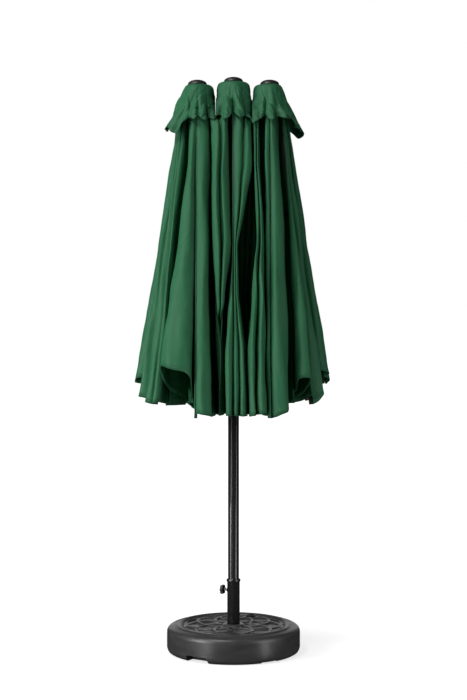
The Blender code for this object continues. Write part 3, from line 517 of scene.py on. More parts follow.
class Panel:
    """One gore of the canopy, between two neighbouring ribs."""

    def __init__(self, number):
        self.number = number
        self.first, self.second = number, number % 12 + 1
        self.long = number in LONG_PANELS
        self.random = random.Random(100 + number)
        self.lengths = [self.rib_length(n) for n in (self.first, self.second)]
        self.outward = [(PIVOTS[n] - hub_center(n)).normalized() for n in (self.first, self.second)]
        self.top = -PIVOT_RADIUS / math.sin(RIB_CLOSED + OPEN_TURN)
        if not self.long:
            self.top += APEX_GAP

    @staticmethod
    def rib_length(number):
        low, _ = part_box(f"rib_{number:02d}")
        return (PIVOTS[number].z - low.z) / math.cos(RIB_CLOSED)

    def rib_point(self, which, distance):
        """A point on the cloth's line over a rib, in the closed frame's straight extension."""
        number, out = (self.first, self.second)[which], self.outward[which]
        along = out * math.sin(RIB_CLOSED) - Vector((0, 0, math.cos(RIB_CLOSED)))
        normal = out * math.cos(RIB_CLOSED) + Vector((0, 0, math.sin(RIB_CLOSED)))
        return PIVOTS[number] + along * distance + normal * FABRIC_GAP

    def distances(self, share):
        return [self.top + (length - self.top) * share for length in self.lengths]

    def flat_point(self, across, share):
        """Where a point of the cloth lies on the taut panel, with the canopy open."""
        ends = []
        for which, distance in enumerate(self.distances(share)):
            body = f"rib_{(self.first, self.second)[which]:02d}"
            ends.append(OPENED[body] @ self.rib_point(which, distance))
        over_hub = 0.010 * (1 - smoothstep((self.distances(share)[0] + 0.045) / 0.11))
        return ends[0].lerp(ends[1], across) + Vector((0, 0, over_hub))

    def reach(self, across, share):
        """The distance of a point of the cloth from the top, along the taut cloth."""
        first, second = self.distances(share)
        if self.long:
            return first + (second - first) * across
        a, b = first - self.top, second - self.top
        cosine = math.cos(math.radians(42.7))
        spread = math.sqrt(((1 - across) * a) ** 2 + (across * b) ** 2
                           + 2 * across * (1 - across) * a * b * cosine)
        return self.top + spread

    def closed_point(self, lateral, inward, distance):
        """A point of the hanging cloth: lateral 0 to 1 between ribs, inward in metres."""
        bend = 0.030
        radius = PIVOT_RADIUS + distance * math.sin(RIB_CLOSED) + FABRIC_GAP * math.cos(RIB_CLOSED)
        drop = FABRIC_GAP * math.sin(RIB_CLOSED) - distance * math.cos(RIB_CLOSED)
        if distance < bend:
            turn = (distance - self.top) / (bend - self.top) * math.pi / 2
            edge = (PIVOT_RADIUS + bend * math.sin(RIB_CLOSED)
                    + FABRIC_GAP * math.cos(RIB_CLOSED))
            low = FABRIC_GAP * math.sin(RIB_CLOSED) - bend * math.cos(RIB_CLOSED)
            start = 0.0 if self.long else 0.0035
            radius = start + (edge - start) * math.sin(turn)
            drop = low + (0.0255 - low) * math.cos(turn)
            inward *= math.sin(turn)
        radius -= inward
        first, second = hub_center(self.first), hub_center(self.second)
        if self.long:
            x = first.x + (second.x - first.x) * lateral
            side = self.outward[0].y
            height = first.z + (second.z - first.z) * lateral + drop
            fall = math.sin(math.pi * lateral) ** 2 * (1 - smoothstep((distance - self.top) / 0.22))
            return Vector((x, side * radius * (1 - 0.62 * fall), height - 0.125 * fall))
        start = math.atan2(self.outward[0].y, self.outward[0].x)
        end = math.atan2(self.outward[1].y, self.outward[1].x)
        if end < start - 1e-6:
            end += 2 * math.pi
        angle = start + (end - start) * lateral
        return first + Vector((radius * math.cos(angle), radius * math.sin(angle), drop))

    def depth(self, share):
        """How far in a fold may reach, from the ribs towards the mast."""
        distance = self.top + (sum(self.lengths) / 2 - self.top) * share
        radius = PIVOT_RADIUS + max(distance, 0.0) * math.sin(RIB_CLOSED)
        limit = INNER_LIMIT[self.long]
        if self.long:
            limit += (CRANK_LIMIT - limit) * smoothstep((share - 0.66) / 0.14)
        return max(radius - limit, 0.012)

    def section(self, share, wander):
        """Control points (lateral, inward metres, lift) of the folds at one height."""
        lobes, valleys = PANELS[self.number]
        depth = self.depth(share)

        def at(values):
            return float(np.interp(share, HEIGHTS[len(values)], values))

        points = [(0.0, 0.0, 0.0)]
        for index, one in enumerate(lobes):
            sway = [wander[index][side](share) for side in (0, 1)]
            start = at(one["start"]) + (sway[0] if one["start"][0] > 0 else 0.0)
            end = at(one["end"]) + (sway[1] if one["end"][0] < 1 else 0.0)
            out, rise = at(one["out"]), smoothstep((share - 0.55) / 0.45)
            lift, lift_end = (value * rise for value in one["lift"])
            out *= smoothstep(share / 0.2)
            width = end - start
            recess, bulge = (0.0, out) if out > 0 else (-out, 0.008)
            shape, pitch = [(0.01, 0.10)], 1 / one["creases"]
            for crease in range(one["creases"]):
                crest = (crease + 0.5) * pitch
                size = 1.0 + 0.5 * noise.noise(Vector((3 * crest + self.number, 2 * share, index)))
                lean = 0.16 * math.sin(5 * share + 2 * crease + self.number + index)
                shape += [(crest - 0.27 * pitch, 0.90 * size), (crest + lean * pitch, 1.25 * size),
                          (crest + 0.27 * pitch, 0.90 * size)]
                if crease < one["creases"] - 1:
                    shape.append(((crease + 1) * pitch, -0.55))
            shape.append((0.99, 0.10))
            for place, height in shape:
                points.append((start + width * place, recess - bulge * height,
                               lift + (lift_end - lift) * place))
            if index == len(lobes) - 1:
                break
            following = lobes[index + 1]
            opening = at(following["start"]) + wander[index + 1][0](share)
            folds, spread = valleys[index]["folds"], valleys[index]["spread"]
            spread *= smoothstep(share / 0.25)
            left, right = end - spread, opening + spread
            half, sag = 0.010, -valleys[index]["drop"] * rise
            points.append((end, 0.10 * depth, lift_end * 0.7))
            points.append((left, 0.32 * depth, lift_end * 0.3))
            for fold in range(folds):
                place = (left + right) / 2
                if folds > 1:
                    place = left + (right - left) * fold / (folds - 1)
                deep = depth * wander[index][2][fold]
                points += [(place + half * step, deep, sag) for step in (-1, 0, 1)]
                if fold < folds - 1:
                    peak = place + (right - left) * 0.5 / (folds - 1)
                    shallow = depth * wander[index][3][fold]
                    if end < peak < opening:
                        shallow = max(shallow, depth * 0.84)
                    points += [(peak + half * step, shallow, sag) for step in (-1, 0, 1)]
            lift_next = following["lift"][0] * rise
            points.append((right, 0.32 * depth, lift_next * 0.3))
            points.append((opening, 0.10 * depth, lift_next * 0.7))
        points.append((1.0, 0.0, 0.0))
        return np.array(points)

    def wanderings(self):
        """For each lobe: how its two sides sway down the canopy, and its valley's depths."""
        made = []
        for _ in PANELS[self.number][0]:
            sways = []
            for _ in range(2):
                phase, size = self.random.uniform(0, 6.28), self.random.uniform(0.004, 0.010)
                pace = self.random.uniform(4.0, 8.0)
                sways.append(lambda share, p=phase, a=size, w=pace: a * math.sin(p + w * share))
            deep = [self.random.uniform(0.90, 1.0) for _ in range(8)]
            shallow = [self.random.uniform(0.26, 0.38) for _ in range(8)]
            made.append((*sways, deep, shallow))
        return made

    def build(self, material):
        """The cloth as a mesh, with its slack stored on its points."""
        rows = 64
        wander = self.wanderings()
        shares = [row / (rows - 1) for row in range(rows)]
        sections = [spline(self.section(share, wander), 4) for share in shares]
        columns = len(sections[0])
        lengths = np.zeros(columns)
        for share, section in zip(shares, sections):
            width = self.width_at(share)
            steps = np.diff(section[:, :2] * np.array([width, 1.0]), axis=0)
            total = np.concatenate([[0.0], np.cumsum(np.hypot(steps[:, 0], steps[:, 1]))])
            if share > 0.2:
                lengths += total / total[-1]
        across = lengths / lengths[-1]

        points, slack, cloth, seam = [], [], [], []
        first_body, second_body = f"rib_{self.number:02d}", f"panel_{self.number:02d}"
        relative = OPENED[first_body].inverted() @ OPENED[second_body]
        carry = [(OPENED[first_body] @ screw_share(relative, float(u))).inverted() for u in across]
        hem_width = (self.flat_point(1.0, 1.0) - self.flat_point(0.0, 1.0)).length
        for share, section in zip(shares, sections):
            flat_width = (self.flat_point(1.0, share) - self.flat_point(0.0, share)).length
            for column, (lateral, inward, lift) in enumerate(section):
                u = float(across[column])
                distance = self.reach(u, share)
                first, second = self.distances(share)
                edge = 1 - smoothstep(min(lateral, 1 - lateral) / 0.25)
                distance += (0.65 + 0.35 * edge) * (first + (second - first) * u - distance)
                point = self.closed_point(lateral, inward, distance)
                point.z += lift
                point += self.ripple(point, u, share, lateral)
                points.append(point)
                slack.append(carry[column] @ self.flat_point(u, share) - point)
                to_hem = (1 - share) * (sum(self.lengths) / 2 - self.top)
                cloth.append((u * max(flat_width, 0.2) + 2 * self.number, to_hem))
                seam.append(min(u, 1 - u) * flat_width)
        self.flat_size = (hem_width, sum(self.lengths) / 2 - self.top)
        made = mesh_object(f"canopy_panel_{self.number:02d}", points, grid_faces(rows, columns),
                           material)
        self.face_outward(made, rows, columns)
        self.store(made, slack, cloth, seam, np.tile(across, rows))
        return made

    def width_at(self, share):
        if self.long:
            return abs(hub_center(self.second).x - hub_center(self.first).x)
        distance = self.top + (sum(self.lengths) / 2 - self.top) * share
        return (PIVOT_RADIUS + max(distance, 0.0) * math.sin(RIB_CLOSED)) * math.pi / 4

    def ripple(self, point, across, share, lateral):
        """Small drag wrinkles, none along the ribs."""
        free = smoothstep(min(lateral, 1 - lateral) / 0.08) if 0 < lateral < 1 else 0.0
        free *= smoothstep(share / 0.15)
        where = Vector((point.x * 24, point.y * 24, point.z * 2.6 + self.number))
        drag = noise.noise_vector(where) * 0.0085
        fine = noise.noise_vector(Vector((point.x * 60, point.y * 60, point.z * 22))) * 0.0012
        drag.z = 0.0
        return (drag + fine) * free

    def face_outward(self, made, rows, columns):
        """Turn the faces over if they look inwards."""
        middle = made.data.polygons[(rows // 2) * (columns - 1) + columns // 12]
        out = self.outward[0] + self.outward[1]
        if middle.normal.dot(out) < 0:
            made.data.flip_normals()

    def store(self, made, slack, cloth, seam, across):
        mesh = made.data
        mesh.attributes.new("slack", "FLOAT_VECTOR", "POINT").data.foreach_set(
            "vector", np.array(slack, np.float32).ravel())
        dress_cloth(made, cloth, seam)
        start, end = self.rib_point(0, 1.0), self.rib_point(1, 1.0)
        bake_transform(made, f"rib_{self.number:02d}", f"panel_{self.number:02d}", start, end)
        mesh.attributes["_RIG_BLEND"].data.foreach_set("value", np.array(across, np.float32))


def take_up_slack():
    """Geometry nodes that draw the folds out of the cloth as a rib turns away from its hub.

    Each point's slack is the way from its place in the folds to its place on the taut panel. It
    turns with the cloth, and is added in proportion to the rib's angle.
    """
    group = bpy.data.node_groups.new("take_up_slack", "GeometryNodeTree")
    for name, kind in (("Geometry", "NodeSocketGeometry"), ("Rib", "NodeSocketObject"),
                       ("Follower", "NodeSocketObject"), ("Hub", "NodeSocketObject"),
                       ("Along", "NodeSocketVector")):
        group.interface.new_socket(name, in_out="INPUT", socket_type=kind)
    group.interface.new_socket("Geometry", in_out="OUTPUT", socket_type="NodeSocketGeometry")
    nodes, links = group.nodes, group.links
    given = nodes.new("NodeGroupInput").outputs

    def add(kind, linked, **settings):
        """A node with its settings, and the inputs that other nodes feed."""
        made = nodes.new(kind)
        for name, value in settings.items():
            setattr(made, name, value)
        for place, value in linked.items():
            links.new(value, made.inputs[place])
        return made

    def rotation_of(name):
        return add("GeometryNodeObjectInfo", {"Object": given[name]}).outputs["Rotation"]

    def stored(name, kind):
        attribute = add("GeometryNodeInputNamedAttribute", {}, data_type=kind)
        attribute.inputs["Name"].default_value = name
        return attribute.outputs["Attribute"]

    def rotate(vector, rotation):
        turned = add("FunctionNodeRotateVector", {"Vector": vector, "Rotation": rotation})
        return turned.outputs["Vector"]

    rib, follower, hub = (rotation_of(name) for name in ("Rib", "Follower", "Hub"))
    dot = add("ShaderNodeVectorMath", {0: rotate(given["Along"], rib), 1: rotate(given["Along"], hub)},
              operation="DOT_PRODUCT")
    angle = add("ShaderNodeMath", {0: dot.outputs["Value"]}, operation="ARCCOSINE")
    share = add("ShaderNodeMath", {0: angle.outputs[0]}, operation="DIVIDE")
    share.inputs[1].default_value = OPEN_TURN

    mixed = add("ShaderNodeMix", {}, data_type="ROTATION")
    factor, first, second = (next(s for s in mixed.inputs if s.enabled and s.name == name)
                             for name in ("Factor", "A", "B"))
    links.new(stored("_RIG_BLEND", "FLOAT"), factor)
    links.new(rib, first)
    links.new(follower, second)
    result = next(s for s in mixed.outputs if s.enabled)
    scaled = add("ShaderNodeVectorMath", {0: rotate(stored("slack", "FLOAT_VECTOR"), result),
                                          "Scale": share.outputs[0]}, operation="SCALE")
    moved = add("GeometryNodeSetPosition", {"Geometry": given["Geometry"],
                                            "Offset": scaled.outputs[0]})
    links.new(moved.outputs[0], nodes.new("NodeGroupOutput").inputs[0])
    return group


def make_canopy():
    slack_group = take_up_slack()
    socket = {item.name: item.identifier for item in slack_group.interface.items_tree
              if item.in_out == "INPUT"}
    for number in range(1, 13):
        panel = Panel(number)
        made = panel.build(FABRIC_LOOK)
        settle = made.modifiers.new("take_up_slack", "NODES")
        settle.node_group = slack_group
        hub = joints[f"rib_{number:02d}_turn"]["parent"]
        settle[socket["Rib"]] = frame["bodies"][f"rib_{number:02d}"]
        settle[socket["Follower"]] = frame["bodies"][f"panel_{number:02d}"]
        settle[socket["Hub"]] = frame["bodies"][hub]
        along = panel.rib_point(0, 1.0) - panel.rib_point(0, 0.0)
        settle[socket["Along"]] = along.normalized()
        thicken(made, 1.0)
        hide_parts(f"panel_{number:02d}")


make_canopy()


# ---- Vent caps ------------------------------------------------------------------------------
# Each pinch is a place where the hem is drawn in: its angle in degrees (0 points away from the
# mast, or to the right on the middle cap; 90 is the back), its depth as a share of the radius and
# its width. Each wing is a place where the hem hangs lower: its angle, its drop and its width.
CAPS = {
    "left": {"pinches": ((-18, .10, 10), (-72, .32, 11), (-94, .30, 10), (-126, .38, 12),
                         (-154, .14, 12), (24, .30, 11), (62, .26, 12), (98, .34, 12),
                         (134, .24, 10), (178, .10, 14)),
             "wings": ((4, .040, 20), (-46, .060, 18), (44, .034, 16), (-83, .006, 10),
                       (-110, .010, 12), (-142, .014, 12), (112, .012, 14)),
             "reach": .130},
    "center": {"pinches": ((-90, .42, 12), (-56, .24, 12), (-24, .16, 11), (-130, .30, 13),
                           (22, .18, 12), (62, .28, 12), (100, .32, 12), (140, .22, 11),
                           (178, .12, 12)),
               "wings": ((-73, .012, 12), (-110, .016, 14), (-40, .022, 14), (-150, .022, 14),
                         (85, .014, 16)),
               "reach": .0758},
    "right": {"pinches": ((-74, .30, 11), (-104, .38, 13), (-48, .12, 10), (-12, .20, 9),
                          (30, .32, 11), (70, .26, 12), (104, .30, 12), (142, .22, 11),
                          (178, .10, 14)),
              "wings": ((0, .026, 20), (-26, .030, 14), (20, .058, 16), (-62, .004, 12),
                        (-88, .010, 12), (-132, .020, 14), (90, .014, 16)),
              "reach": .130},
}
CAP_INNER = 0.0758
CAP_FRONT = 0.122


def angle_gap(a, b):
    return abs((a - b + 180) % 360 - 180)


def make_vent_cap(name):
    """A loose hood gathered under a finial, with a flared and scalloped hem."""
    shape = CAPS[name]
    low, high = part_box(f"vent_cap_{name}")
    center = Vector(((0.0 if name == "center" else math.copysign(HUB_SPACING, low.x)), 0, 0))
    mirror = -1.0 if name == "left" else 1.0
    drop = high.z - low.z
    columns, rows = 168, 44
    profile = np.array([(0.0095, 0.0006), (0.036, 0.0006), (0.058, 0.0012), (0.0675, 0.010),
                        (0.0725, 0.026), (0.0755, 0.048), (0.080, 0.078), (0.100, drop)])
    line = spline(profile, 6)
    steps = np.concatenate([[0.0], np.cumsum(np.hypot(*np.diff(line, axis=0).T))])
    points, cloth = [], []
    for row in range(rows):
        along = steps[-1] * row / (rows - 1)
        radius = float(np.interp(along, steps, line[:, 0]))
        fall = float(np.interp(along, steps, line[:, 1]))
        share = along / steps[-1]
        loose = smoothstep((share - 0.30) / 0.70)
        flare = smoothstep((share - 0.22) / 0.78)
        for column in range(columns):
            degrees = 360 * column / columns
            angle = math.radians(degrees)
            side = math.cos(angle)
            stretch_x = 1.0
            if side > 0 and name != "center":
                narrow = 0.80 + 0.20 * (1 - side)
                stretch_x = narrow + (shape["reach"] / 0.100 - narrow) * flare
            stretch_y = 1 + (CAP_FRONT / 0.100 - 1) * flare
            pull = sum(depth * math.exp(-(angle_gap(degrees, place) / (width * (1.7 - share))) ** 1.4)
                       for place, depth, width in shape["pinches"])
            hang = sum(extra * math.exp(-(angle_gap(degrees, place) / width) ** 2)
                       for place, extra, width in shape["wings"])
            out = radius * (1 + (0.10 - pull) * loose)
            x = max(out * side * stretch_x, -CAP_INNER)
            if name == "center":
                x = min(x, CAP_INNER)
            y = out * math.sin(angle) * stretch_y
            z = high.z - 0.0003 - fall - hang * loose ** 1.5 + 0.050 * pull * loose ** 2
            where = Vector((x * 26 + 7 * mirror + z * 9, y * 26, z * 9))
            wrinkle = noise.noise(where) * 0.017 * smoothstep((share - 0.15) / 0.5)
            crease = abs(noise.noise(where * 1.6 + Vector((4, 0, 9)))) ** 0.8
            wrinkle -= 0.016 * (0.30 - min(crease, 0.30)) * smoothstep((share - 0.2) / 0.4)
            grow = 1 + wrinkle / 0.09
            points.append(center + Vector((mirror * max(x * grow, -CAP_INNER), y * grow, z)))
            cloth.append((angle * 0.085 + 40, steps[-1] - along))
    made = mesh_object(f"vent_cap_cloth_{name}", points, grid_faces(rows, columns, wrap=True),
                       FABRIC_LOOK)
    if mirror > 0:
        made.data.flip_normals()
    dress_cloth(made, cloth, [1.0] * len(cloth))
    thicken(made, -1.0)
    body = "mast_upper" if name == "center" else f"hub_{name}"
    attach(made, body)
    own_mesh(made)
    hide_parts(f"vent_cap_{name}")


for cap_name in CAPS:
    make_vent_cap(cap_name)


# ---- Hard pieces with finer surfaces --------------------------------------------------------
def lathe(name, profile, material, segments=96, center=(0, 0, 0)):
    """A solid turned about Z from (radius, height) points."""
    points = [(center[0] + radius * math.cos(2 * math.pi * step / segments),
               center[1] + radius * math.sin(2 * math.pi * step / segments), center[2] + height)
              for radius, height in profile for step in range(segments)]
    made = mesh_object(name, points, grid_faces(len(profile), segments, wrap=True), material)
    made.data.flip_normals()
    close_ends(made.data, len(profile), segments)
    made.data.set_sharp_from_angle(angle=math.radians(40))
    return made


def close_ends(mesh, rows, columns):
    """Fill the first and last row of a wrapped grid, with all faces turned outwards."""
    shape = bmesh.new()
    shape.from_mesh(mesh)
    shape.verts.ensure_lookup_table()
    for row in (0, rows - 1):
        shape.faces.new([shape.verts[row * columns + step] for step in range(columns)])
    bmesh.ops.recalc_face_normals(shape, faces=shape.faces)
    shape.to_mesh(mesh)
    shape.free()
    mesh.shade_smooth()


def smooth_copy(node_name, material):
    """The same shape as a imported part, with smooth shading round its curves."""
    node = frame["nodes"][node_name]
    shape = bmesh.new()
    shape.from_mesh(node.data)
    bmesh.ops.remove_doubles(shape, verts=shape.verts, dist=1e-6)
    mesh = bpy.data.meshes.new(f"{node_name}_smooth")
    shape.to_mesh(mesh)
    shape.free()
    mesh.shade_smooth()
    mesh.set_sharp_from_angle(angle=math.radians(35))
    mesh.materials.append(material)
    made = bpy.data.objects.new(f"{node_name}_smooth", mesh)
    made.matrix_world = node.matrix_world
    bpy.context.scene.collection.objects.link(made)
    body = next(name for name, empty in frame["bodies"].items() if empty == node.parent)
    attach(made, body)
    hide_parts(node_name)


smooth_copy("mast_lower", MAST_LOOK)
smooth_copy("mast_upper", MAST_LOOK)
smooth_copy("base_sleeve", SLEEVE_LOOK)
smooth_copy("filler_cap", PLASTIC_LOOK)


def make_finials():
    """Low black domes that clamp the cloth, with a rolled rim and a stem."""
    for name, body in (("center", "mast_upper"), ("left", "hub_left"), ("right", "hub_right")):
        low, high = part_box(f"finial_{name}")
        center = ((low.x + high.x) / 2, 0.0, high.z)
        radius, height = high.y + 0.003, 0.022
        dome = [(0.0012, 0.0)] + [(radius * math.sin(math.radians(a)) * 0.985,
                 -(height - 0.004) * (1 - math.cos(math.radians(a)))) for a in range(6, 91, 6)]
        rim = [(radius, -height + 0.0028), (radius, -height + 0.001), (radius - 0.0015, -height)]
        stem = [(0.0062, -height), (0.0058, -height - 0.0145), (0.001, -height - 0.0147)]
        made = lathe(f"finial_dome_{name}", dome + rim + stem, PLASTIC_LOOK, 64, center)
        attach(made, body)
        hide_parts(f"finial_{name}")


make_finials()

BAND_COUNT = 8
BAND_RADIUS = 0.118
BAND_CENTER = 0.098
BAND_WIDTH = 0.0085
RING_INNER = 0.222
RING_MIDDLE = 0.234
RING_OUTER = 0.247
PLATEAU_DROP = 0.0095
SHOULDER = 0.024
SHOULDER_HEIGHT = 0.084


def band_height(x, y):
    """The raised interlaced bands on top of the base: each passes over and under the others."""
    height = 0.0
    for number in range(BAND_COUNT):
        turn = 2 * math.pi * (number + 0.5) / BAND_COUNT
        dx, dy = x - BAND_CENTER * math.cos(turn), y - BAND_CENTER * math.sin(turn)
        away = abs(math.hypot(dx, dy) - BAND_RADIUS) / BAND_WIDTH
        if away < 1.0:
            along = math.atan2(dy, dx) - turn
            over = 0.76 + 0.24 * math.cos(BAND_COUNT * along / 2 + 0.6)
            height = max(height, 0.0080 * over * (1 - away ** 5))
    return height


def make_base():
    """The moulded base: rounded shoulder, ring, sunk plateau with interlaced bands, and boss."""
    top, segments = BASE_TOP - 0.002, 360
    shoulder = [(BASE_RADIUS + SHOULDER * (math.cos(math.radians(a)) - 1),
                 SHOULDER_HEIGHT + SHOULDER * math.sin(math.radians(a))) for a in range(0, 81, 8)]
    wall = [(0.0285, 0.0), (0.20, 0.0), (0.262, 0.0), (0.2700, 0.0008), (0.2765, 0.0045),
            (0.2808, 0.012), (BASE_RADIUS, 0.021), (BASE_RADIUS, 0.052)]
    ring = [(RING_OUTER + 0.004, top - 0.0022), (RING_OUTER, top - 0.0036), (0.2445, top - 0.001)]
    ring += [(RING_MIDDLE + 0.0075 * math.cos(math.radians(a)),
              top - 0.0005 + 0.0030 * math.sin(math.radians(a))) for a in range(10, 171, 20)]
    ring += [(0.2245, top - 0.0015), (RING_INNER, top - 0.0045), (0.2185, top - PLATEAU_DROP)]
    plateau = [(radius, top - PLATEAU_DROP) for radius in np.linspace(0.216, 0.052, 60)]
    boss = [(0.048, top - 0.0045), (0.0445, top - 0.001), (0.041, top + 0.0012), (0.034, top + 0.002),
            (0.0285, top + 0.002), (0.0277, top + 0.001), (0.0277, 0.060)]
    profile = wall + shoulder + ring + plateau + boss
    first_flat, last_flat = len(wall + shoulder + ring), len(profile) - len(boss)
    points = []
    for row, (radius, height) in enumerate(profile):
        for step in range(segments):
            angle = 2 * math.pi * step / segments
            x, y = radius * math.cos(angle), radius * math.sin(angle)
            z = height
            if first_flat <= row < last_flat:
                edge = smoothstep((0.2185 - radius) / 0.006) * smoothstep((radius - 0.050) / 0.006)
                z += band_height(x, y) * edge
                near = math.hypot(x - FILLER.x, y - FILLER.y)
                z += (0.0050 - (z - height)) * (1 - smoothstep((near - 0.029) / 0.006))
            points.append((x, y, z))
    made = mesh_object("base_moulding", points, grid_faces(len(profile), segments, wrap=True),
                       BASE_LOOK)
    close_ends(made.data, len(profile), segments)
    cut_notches(made)
    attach(made, "base")
    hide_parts("base_shell")


def cut_notches(made):
    """Hand holds and foot gaps in the lower edge, and the filling hole."""
    cutters = []
    for degrees, half, height, depth in ((237, 0.056, 0.026, 0.225), (57, 0.056, 0.026, 0.225),
                                         (303, 0.045, 0.006, 0.205), (123, 0.045, 0.006, 0.205)):
        shape = bmesh.new()
        bmesh.ops.create_cube(shape, size=1.0)
        for vertex in shape.verts:
            inward = 0.0 if vertex.co.z < 0 else 0.006
            vertex.co = ((depth if vertex.co.x < 0 else 0.32) + (inward if vertex.co.x < 0 else 0),
                         math.copysign(half - inward, vertex.co.y),
                         -0.02 if vertex.co.z < 0 else height)
        bmesh.ops.rotate(shape, verts=shape.verts, cent=(0, 0, 0),
                         matrix=Matrix.Rotation(math.radians(degrees), 3, "Z"))
        cutters.append(shape)
    hole = bmesh.new()
    bmesh.ops.create_cone(hole, cap_ends=True, segments=48, radius1=0.0162, radius2=0.0162,
                          depth=0.06, matrix=Matrix.Translation((FILLER.x, FILLER.y, 0.115)))
    cutters.append(hole)
    tools = []
    for shape in cutters:
        mesh = bpy.data.meshes.new("cutter")
        shape.to_mesh(mesh)
        shape.free()
        tool = bpy.data.objects.new("cutter", mesh)
        bpy.context.scene.collection.objects.link(tool)
        tools.append(tool)
        cut = made.modifiers.new("cut", "BOOLEAN")
        cut.operation, cut.solver, cut.object = "DIFFERENCE", "EXACT", tool
    graph = bpy.context.evaluated_depsgraph_get()
    finished = bpy.data.meshes.new_from_object(made.evaluated_get(graph))
    made.modifiers.clear()
    made.data = finished
    finished.shade_smooth()
    finished.set_sharp_from_angle(angle=math.radians(32))
    for tool in tools:
        bpy.data.objects.remove(tool)


FILLER = sum(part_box("filler_cap"), Vector()) / 2
make_base()


KNOB_DISTANCE = 0.050


def make_knob():
    """The clamp's star knob with a hollow back, and its zinc bolt."""
    low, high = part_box("clamp_knob")
    joint = joints["clamp_turn"]
    outward = Vector(joint["pos_m"])
    outward.z = 0.0
    outward.normalize()
    turn = outward.to_track_quat("Z", "Y").to_matrix().to_4x4()
    middle = Vector((0, 0, (low.z + high.z) / 2)) + outward * KNOB_DISTANCE
    place = Matrix.Translation(middle) @ turn
    lobes, columns = 6, 144
    profile = [(0.30, -0.0060), (0.42, -0.0062), (0.52, -0.0050), (0.66, -0.0045), (0.80, -0.0062),
               (0.92, -0.0062), (0.985, -0.0048), (1.0, -0.0030), (1.0, 0.0040), (0.985, 0.0058),
               (0.93, 0.0074), (0.84, 0.0082), (0.60, 0.0088), (0.40, 0.0074), (0.34, 0.0070),
               (0.02, 0.0072)]
    points = []
    for scale, height in profile:
        for step in range(columns):
            angle = 2 * math.pi * step / columns
            wave = 0.5 + 0.5 * math.cos(lobes * angle)
            radius = 0.0155 + 0.0055 * wave ** 0.75
            blend_round = min(1.0, max(0.0, (scale - 0.42) / 0.4))
            radius = 0.0165 + (radius - 0.0165) * blend_round
            points.append(place @ Vector((radius * scale * math.cos(angle),
                                          radius * scale * math.sin(angle), height)))
    knob = mesh_object("star_knob", points, grid_faces(len(profile), columns, wrap=True), KNOB_LOOK)
    close_ends(knob.data, len(profile), columns)
    knob.data.set_sharp_from_angle(angle=math.radians(50))
    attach(knob, "clamp")
    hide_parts("clamp_knob")
    pitch, threads, core = 0.00125, 16, 0.0034
    outline = [(0.0072, -0.0062), (0.0074, -0.0072), (0.0074, -0.0100), (0.0066, -0.0108)]
    for number in range(threads):
        z = -0.0112 - pitch * number * 0.85
        outline += [(core, z), (core + 0.0006, z - pitch * 0.4)]
    bolt = lathe("clamp_bolt", [(0.0005, -0.0060), *outline, (0.0005, outline[-1][1] - 0.0006)],
                 ZINC_LOOK, 32)
    bolt.data.transform(place)
    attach(bolt, "clamp")


make_knob()


# ---- Stage, lights and camera ---------------------------------------------------------------
def make_stage():
    """A pale studio floor, and a white background that only the camera sees at full strength."""
    size = 60.0
    floor = mesh_object("studio_floor", [(-size, -size, -0.001), (size, -size, -0.001),
                                         (size, size, -0.001), (-size, size, -0.001)],
                        [(0, 1, 2, 3)], FLOOR_LOOK, smooth=False)
    floor.visible_diffuse = False
    floor.visible_glossy = False
    floor.visible_shadow = False
    world = bpy.data.worlds.new("studio")
    bpy.context.scene.world = world
    world.use_nodes = True
    nodes, links = world.node_tree.nodes, world.node_tree.links
    background = nodes["Background"]
    seen = nodes.new("ShaderNodeLightPath").outputs["Is Camera Ray"]
    level = nodes.new("ShaderNodeMapRange")
    links.new(seen, level.inputs["Value"])
    level.inputs["To Min"].default_value = 0.02
    level.inputs["To Max"].default_value = 1.0
    background.inputs["Color"].default_value = (1.0, 1.0, 1.0, 1.0)
    links.new(level.outputs["Result"], background.inputs["Strength"])


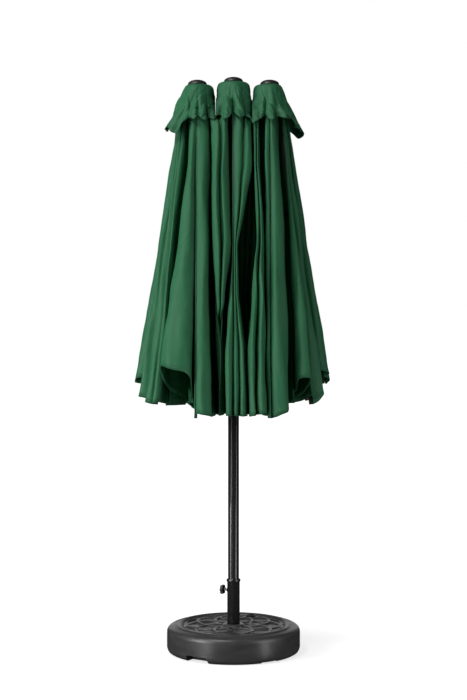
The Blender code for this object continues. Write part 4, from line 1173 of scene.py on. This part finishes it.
def floor_material():
    n = Nodes("studio_floor")
    place = n.position()
    speck = n.noise(place, 3.0, 2.0)
    color = n.mix(speck, (0.42, 0.42, 0.42), (0.44, 0.44, 0.44))
    away = n.node("ShaderNodeVectorMath", operation="LENGTH")
    n.link(place, away.inputs[0])
    n.set(Emission_Color=(1.0, 1.0, 1.0, 1.0))
    n.link(n.between(away.outputs["Value"], 0.35, 1.1, 0.72, 1.1),
           n.shader.inputs["Emission Strength"])
    return n.finish(color, 0.7, n.bump(speck, 0.0001, 0.1))


def soft_box(name, place, target, width, height, power):
    data = bpy.data.lights.new(name, "AREA")
    data.shape = "RECTANGLE"
    data.size, data.size_y = width, height
    data.energy = power
    lamp = bpy.data.objects.new(name, data)
    bpy.context.scene.collection.objects.link(lamp)
    lamp.visible_camera = False
    lamp.location = place
    lamp.rotation_euler = (Vector(target) - Vector(place)).to_track_quat("-Z", "Y").to_euler()


FLOOR_LOOK = floor_material()
make_stage()
for side, angle, power in (("left", -62, 112), ("right", 62, 26)):
    spot = Matrix.Rotation(math.radians(angle), 3, "Z") @ Vector((0, -3.6, 0))
    soft_box(f"soft_box_{side}", (spot.x, spot.y, 1.7), (0, 0, 1.35), 1.2, 3.0, power)
soft_box("top_light", (-1.5, -1.8, 4.7), (0, 0, 1.2), 1.2, 0.9, 84)
for side, angle, power in (("left", -43, 8.5), ("right", 51, 8.5)):
    spot = Matrix.Rotation(math.radians(angle), 3, "Z") @ Vector((0, -1.6, 0))
    soft_box(f"strip_{side}", (spot.x, spot.y, 0.40), (0, 0, 0.40), 0.27, 1.7, power)
soft_box("backdrop", (0, 4.6, 1.3), (0, 0, 1.1), 4.4, 2.2, 26)

CAMERA_HEIGHT = 1.36
CAMERA_DISTANCE = 6.0
LENS_RATIO = 2.0114
camera_data = bpy.data.cameras.new("camera")
camera_data.sensor_fit = "VERTICAL"
camera_data.sensor_height = 36.0
camera_data.lens = 36.0 * LENS_RATIO
camera_data.shift_y = -0.0271
camera = bpy.data.objects.new("camera", camera_data)
bpy.context.scene.collection.objects.link(camera)
camera.location = (0.0, -CAMERA_DISTANCE, CAMERA_HEIGHT)
camera.rotation_euler = (math.pi / 2, 0.0, 0.0)
bpy.context.scene.camera = camera
bpy.context.scene.view_settings.view_transform = "Standard"
